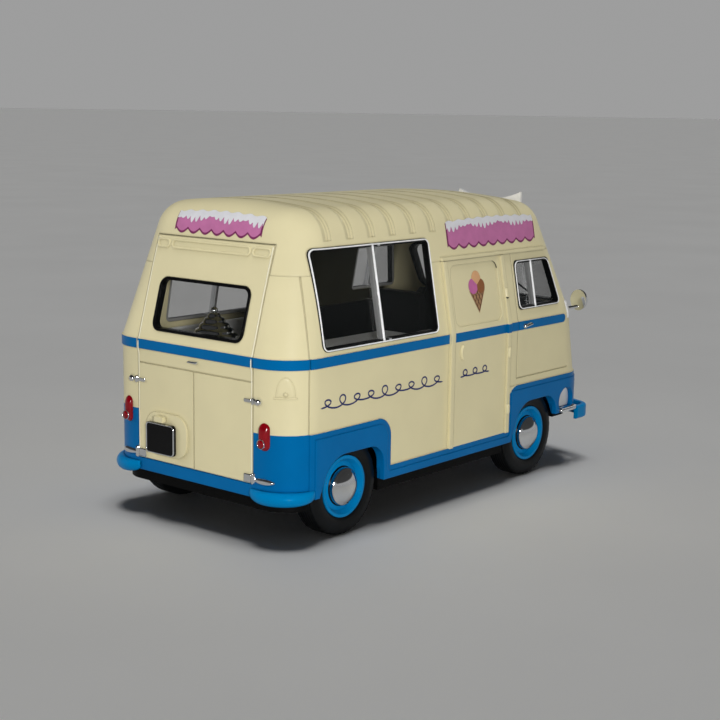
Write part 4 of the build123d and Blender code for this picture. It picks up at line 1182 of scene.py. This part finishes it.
def make_hinges():
    shape = Shape()
    for side in (-1, 1):
        leaf = side * (REAR_DOOR_HALF - HINGE_GAP - LEAF_HALF)
        pin = side * (REAR_DOOR_HALF + HINGE_GAP)
        for height, half in (UPPER_HINGE, LOWER_HINGE):
            outline = rounded((leaf, height), LEAF_HALF, half, LEAF_CORNER)
            lay_patch(shape, REAR_SIDE, outline, *LEAF_PATCH)
            reach = half + PIN_OVER
            lay_upright(shape, REAR_SIDE, pin, height - reach, height + reach, PIN_BEAD)
        place = (side * (REAR_DOOR_HALF + HINGE_KNOB_PLACE), UPPER_HINGE[0])
        knob = oval(place, HINGE_KNOB, HINGE_KNOB, steps=28)
        lay_patch(shape, REAR_SIDE, knob, *HINGE_KNOB_PATCH)
        lay_patch(shape, corner_face(side), oval(*STRAP_OVAL), *STRAP_PATCH)
    shape.make("dressed_hinges", "bright", stands_for="rear_hinges")


# Bright edges: the plate's border, the step treads and the mirror brackets
PLATE_INSET, PLATE_CORNER, PLATE_BEAD = 0.1, 0.6, (0.13, 0.14)
TREAD_HEIGHT, TREAD_LEVEL, TREAD_BEAD = 11.15, 10.9, (0.5, 0.85)
TREAD_REAR, TREAD_FRONT = FRONT_AXLE + 8.2, FRONT_AXLE + 14.0
BRACKET_PLACE, BRACKET_LOW, BRACKET_HIGH = FRONT_AXLE + 11.0, 28.6, 32.0
BRACKET_BEAD = (0.28, 0.42)


def make_plate_border():
    low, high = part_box("rear_plate")
    face = Sheet(((low.x - MIDDLE_X) / MM, 0, 0), (0, 1, 0), (1, 0, 0))
    middle = ((low.y + high.y) / 2 / MM, (low.z + high.z) / 2 / MM)
    half = [size / 2 / MM - PLATE_INSET for size in (high.y - low.y, high.z - low.z)]
    border = Shape()
    lay_bead(border, face, rounded(middle, *half, PLATE_CORNER), *PLATE_BEAD, closed=True)
    border.make("plate_border", "bright")


def make_treads():
    treads = Shape()
    for side in (-1, 1):
        face = side_face(side, level=TREAD_LEVEL)
        tread = line((TREAD_REAR, TREAD_HEIGHT), (TREAD_FRONT, TREAD_HEIGHT), steps=40)
        lay_bead(treads, face, tread, *TREAD_BEAD)
    treads.make("step_treads", "bright")


def make_brackets():
    brackets = Shape()
    for face in (RIGHT_SIDE, LEFT_SIDE):
        lay_upright(brackets, face, BRACKET_PLACE, BRACKET_LOW, BRACKET_HIGH, BRACKET_BEAD)
    brackets.make("mirror_brackets", "bright", material=MATERIALS["step_silver"])


# Side windows. Columns: name, side, rear, front, sill and top of the opening, its corner, divider
SIDE_WINDOWS = [
    ("serving", -1, SERVING_REAR, SERVING_FRONT, 30.3, 46.1, 1.2, SERVING_BAR),
    ("left", 1, LEFT_REAR, LEFT_FRONT, 30.3, 41.0, 1.2, LEFT_BAR),
]
STRIP_INSET, STRIP_BEAD = 0.2, (0.13, 0.2)
BAR_INSET, BAR_BEAD = 0.3, (0.2, 0.2)
# Cab door window: rear, lower front and upper front stations, heights, corner
DOOR_REAR, DOOR_LOW_FRONT, DOOR_HIGH_FRONT = FRONT_AXLE - 5.5, FRONT_AXLE + 8.4, FRONT_AXLE + 5.8
DOOR_LOW, DOOR_HIGH = 31.7, 40.6
DOOR_CORNER, DOOR_BEAD = 1.3, (0.1, 0.2)
# Insets of the door's bar, and of the strip at the sharp lower front corner
DOOR_BAR_INSET, DOOR_SHARP_INSET = 0.25, 0.28


def make_window_strips():
    """Bright strips over the rubber of the side windows, and their divider bars, in pale silver as a painted
    highlight.
    """
    for name, side, rear, front, low, high, corner, bar in SIDE_WINDOWS:
        strip = Shape()
        face = side_face(side, tree=FRAMES)
        middle = ((rear + front) / 2, (low + high) / 2)
        half = ((front - rear) / 2 - STRIP_INSET, (high - low) / 2 - STRIP_INSET)
        outline = spaced(rounded(middle, *half, corner - STRIP_INSET))
        lay_bead(strip, face, outline, *STRIP_BEAD, closed=True)
        lay_upright(strip, face, bar, low + BAR_INSET, high - BAR_INSET, BAR_BEAD)
        strip.make(f"{name}_window_strip", "bright", material=STRIP_SILVER_HIGHLIGHT)


def make_door_strips():
    rear, low, high = DOOR_REAR + STRIP_INSET, DOOR_LOW + STRIP_INSET, DOOR_HIGH - STRIP_INSET
    low_front, high_front = DOOR_LOW_FRONT - DOOR_SHARP_INSET, DOOR_HIGH_FRONT - STRIP_INSET
    corners = [(rear, low), (low_front, low), (high_front, high), (rear, high)]
    bar_ends = (DOOR_LOW + DOOR_BAR_INSET, DOOR_HIGH - DOOR_BAR_INSET)
    strips = Shape()
    for side in (-1, 1):
        face = side_face(side, tree=FRAMES)
        lay_upright(strips, face, DOOR_BAR, *bar_ends, BAR_BEAD)
        lay_bead(strips, face, spaced(eased(corners, DOOR_CORNER)), *DOOR_BEAD, closed=True)
    # Pale silver as a painted highlight
    strips.make("door_window_bars", "bright", material=STRIP_SILVER_HIGHLIGHT)


# Handles: the cab doors' levers and the rear hatch's grip
LEVER_START, LEVER_END = (FRONT_AXLE - 4.3, 28.75), (FRONT_AXLE - 2.2, 29.05)
LEVER_BEAD, ROSE_OVAL, ROSE_PATCH = (0.3, 0.75), (LEVER_START, 0.45, 0.45), (0.5, 0.6)
GRIP_HALF, GRIP_HEIGHT, GRIP_BEAD = 1.1, 27.25, (0.25, 0.6)


def make_handles():
    shape = Shape()
    for face in (RIGHT_SIDE, LEFT_SIDE):
        lay_bead(shape, face, line(LEVER_START, LEVER_END), *LEVER_BEAD)
        lay_patch(shape, face, oval(*ROSE_OVAL, steps=24), *ROSE_PATCH)
    lay_bead(shape, REAR_SIDE, line((-GRIP_HALF, GRIP_HEIGHT), (GRIP_HALF, GRIP_HEIGHT)), *GRIP_BEAD)
    shape.make("dressed_handles", "bright", stands_for="door_handles")


# Beehive lid. Columns: share of the radius at a ring's foot, at its shoulder
LID_RINGS = [(1.0, 0.96), (0.82, 0.78), (0.64, 0.60), (0.46, 0.42), (0.28, 0.22)]
# Shares of a ring's height at its foot, belly, shoulder and waist, and of the shoulder's radius at the waist
LID_HEIGHTS, LID_WAIST = (0.12, 0.45, 0.8, 1.0), 0.9
KNOB_RADIUS, KNOB_SEAT, KNOB_NECK = 0.6, 0.36, 0.28
KNOB_ANGLES = (-50, 90)


def make_lid():
    low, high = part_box("tub_lid")
    middle = (low + high) / 2
    radius = (high.x - low.x) / 2 / MM
    knob = (high.z - low.z) / MM - KNOB_RADIUS
    step = (knob - KNOB_SEAT) / len(LID_RINGS)
    profile = [(0.0, 0.0)]
    for index, (foot, shoulder) in enumerate(LID_RINGS):
        radii = (foot, foot, shoulder, shoulder * LID_WAIST)
        profile += [(radius * reach, (index + height) * step) for reach, height in zip(radii, LID_HEIGHTS)]
    profile.append((KNOB_NECK, len(LID_RINGS) * step))
    profile += arc((0, knob), KNOB_RADIUS, KNOB_RADIUS, *KNOB_ANGLES, steps=10)
    shape = Shape()
    shape.turn(Vector((middle.x, middle.y, low.z)), (0, 0, 1), profile, segments=56)
    shape.make("beehive_lid", "bright", stands_for="tub_lid")


make_camera()
make_lights()
make_world()
make_floor()
dress_nodes()
make_wheels()
for row in BANNERS:
    make_banner(*row)
make_cone()
for row in PINSTRIPES:
    make_pinstripe(*row)
make_vents()
make_door_edge_highlights()
make_filler()
make_side_door_fittings()
make_rear_bumpers()
make_tail_lamps()
make_hinges()
make_plate_border()
make_treads()
make_brackets()
make_window_strips()
make_door_strips()
make_handles()
make_lid()
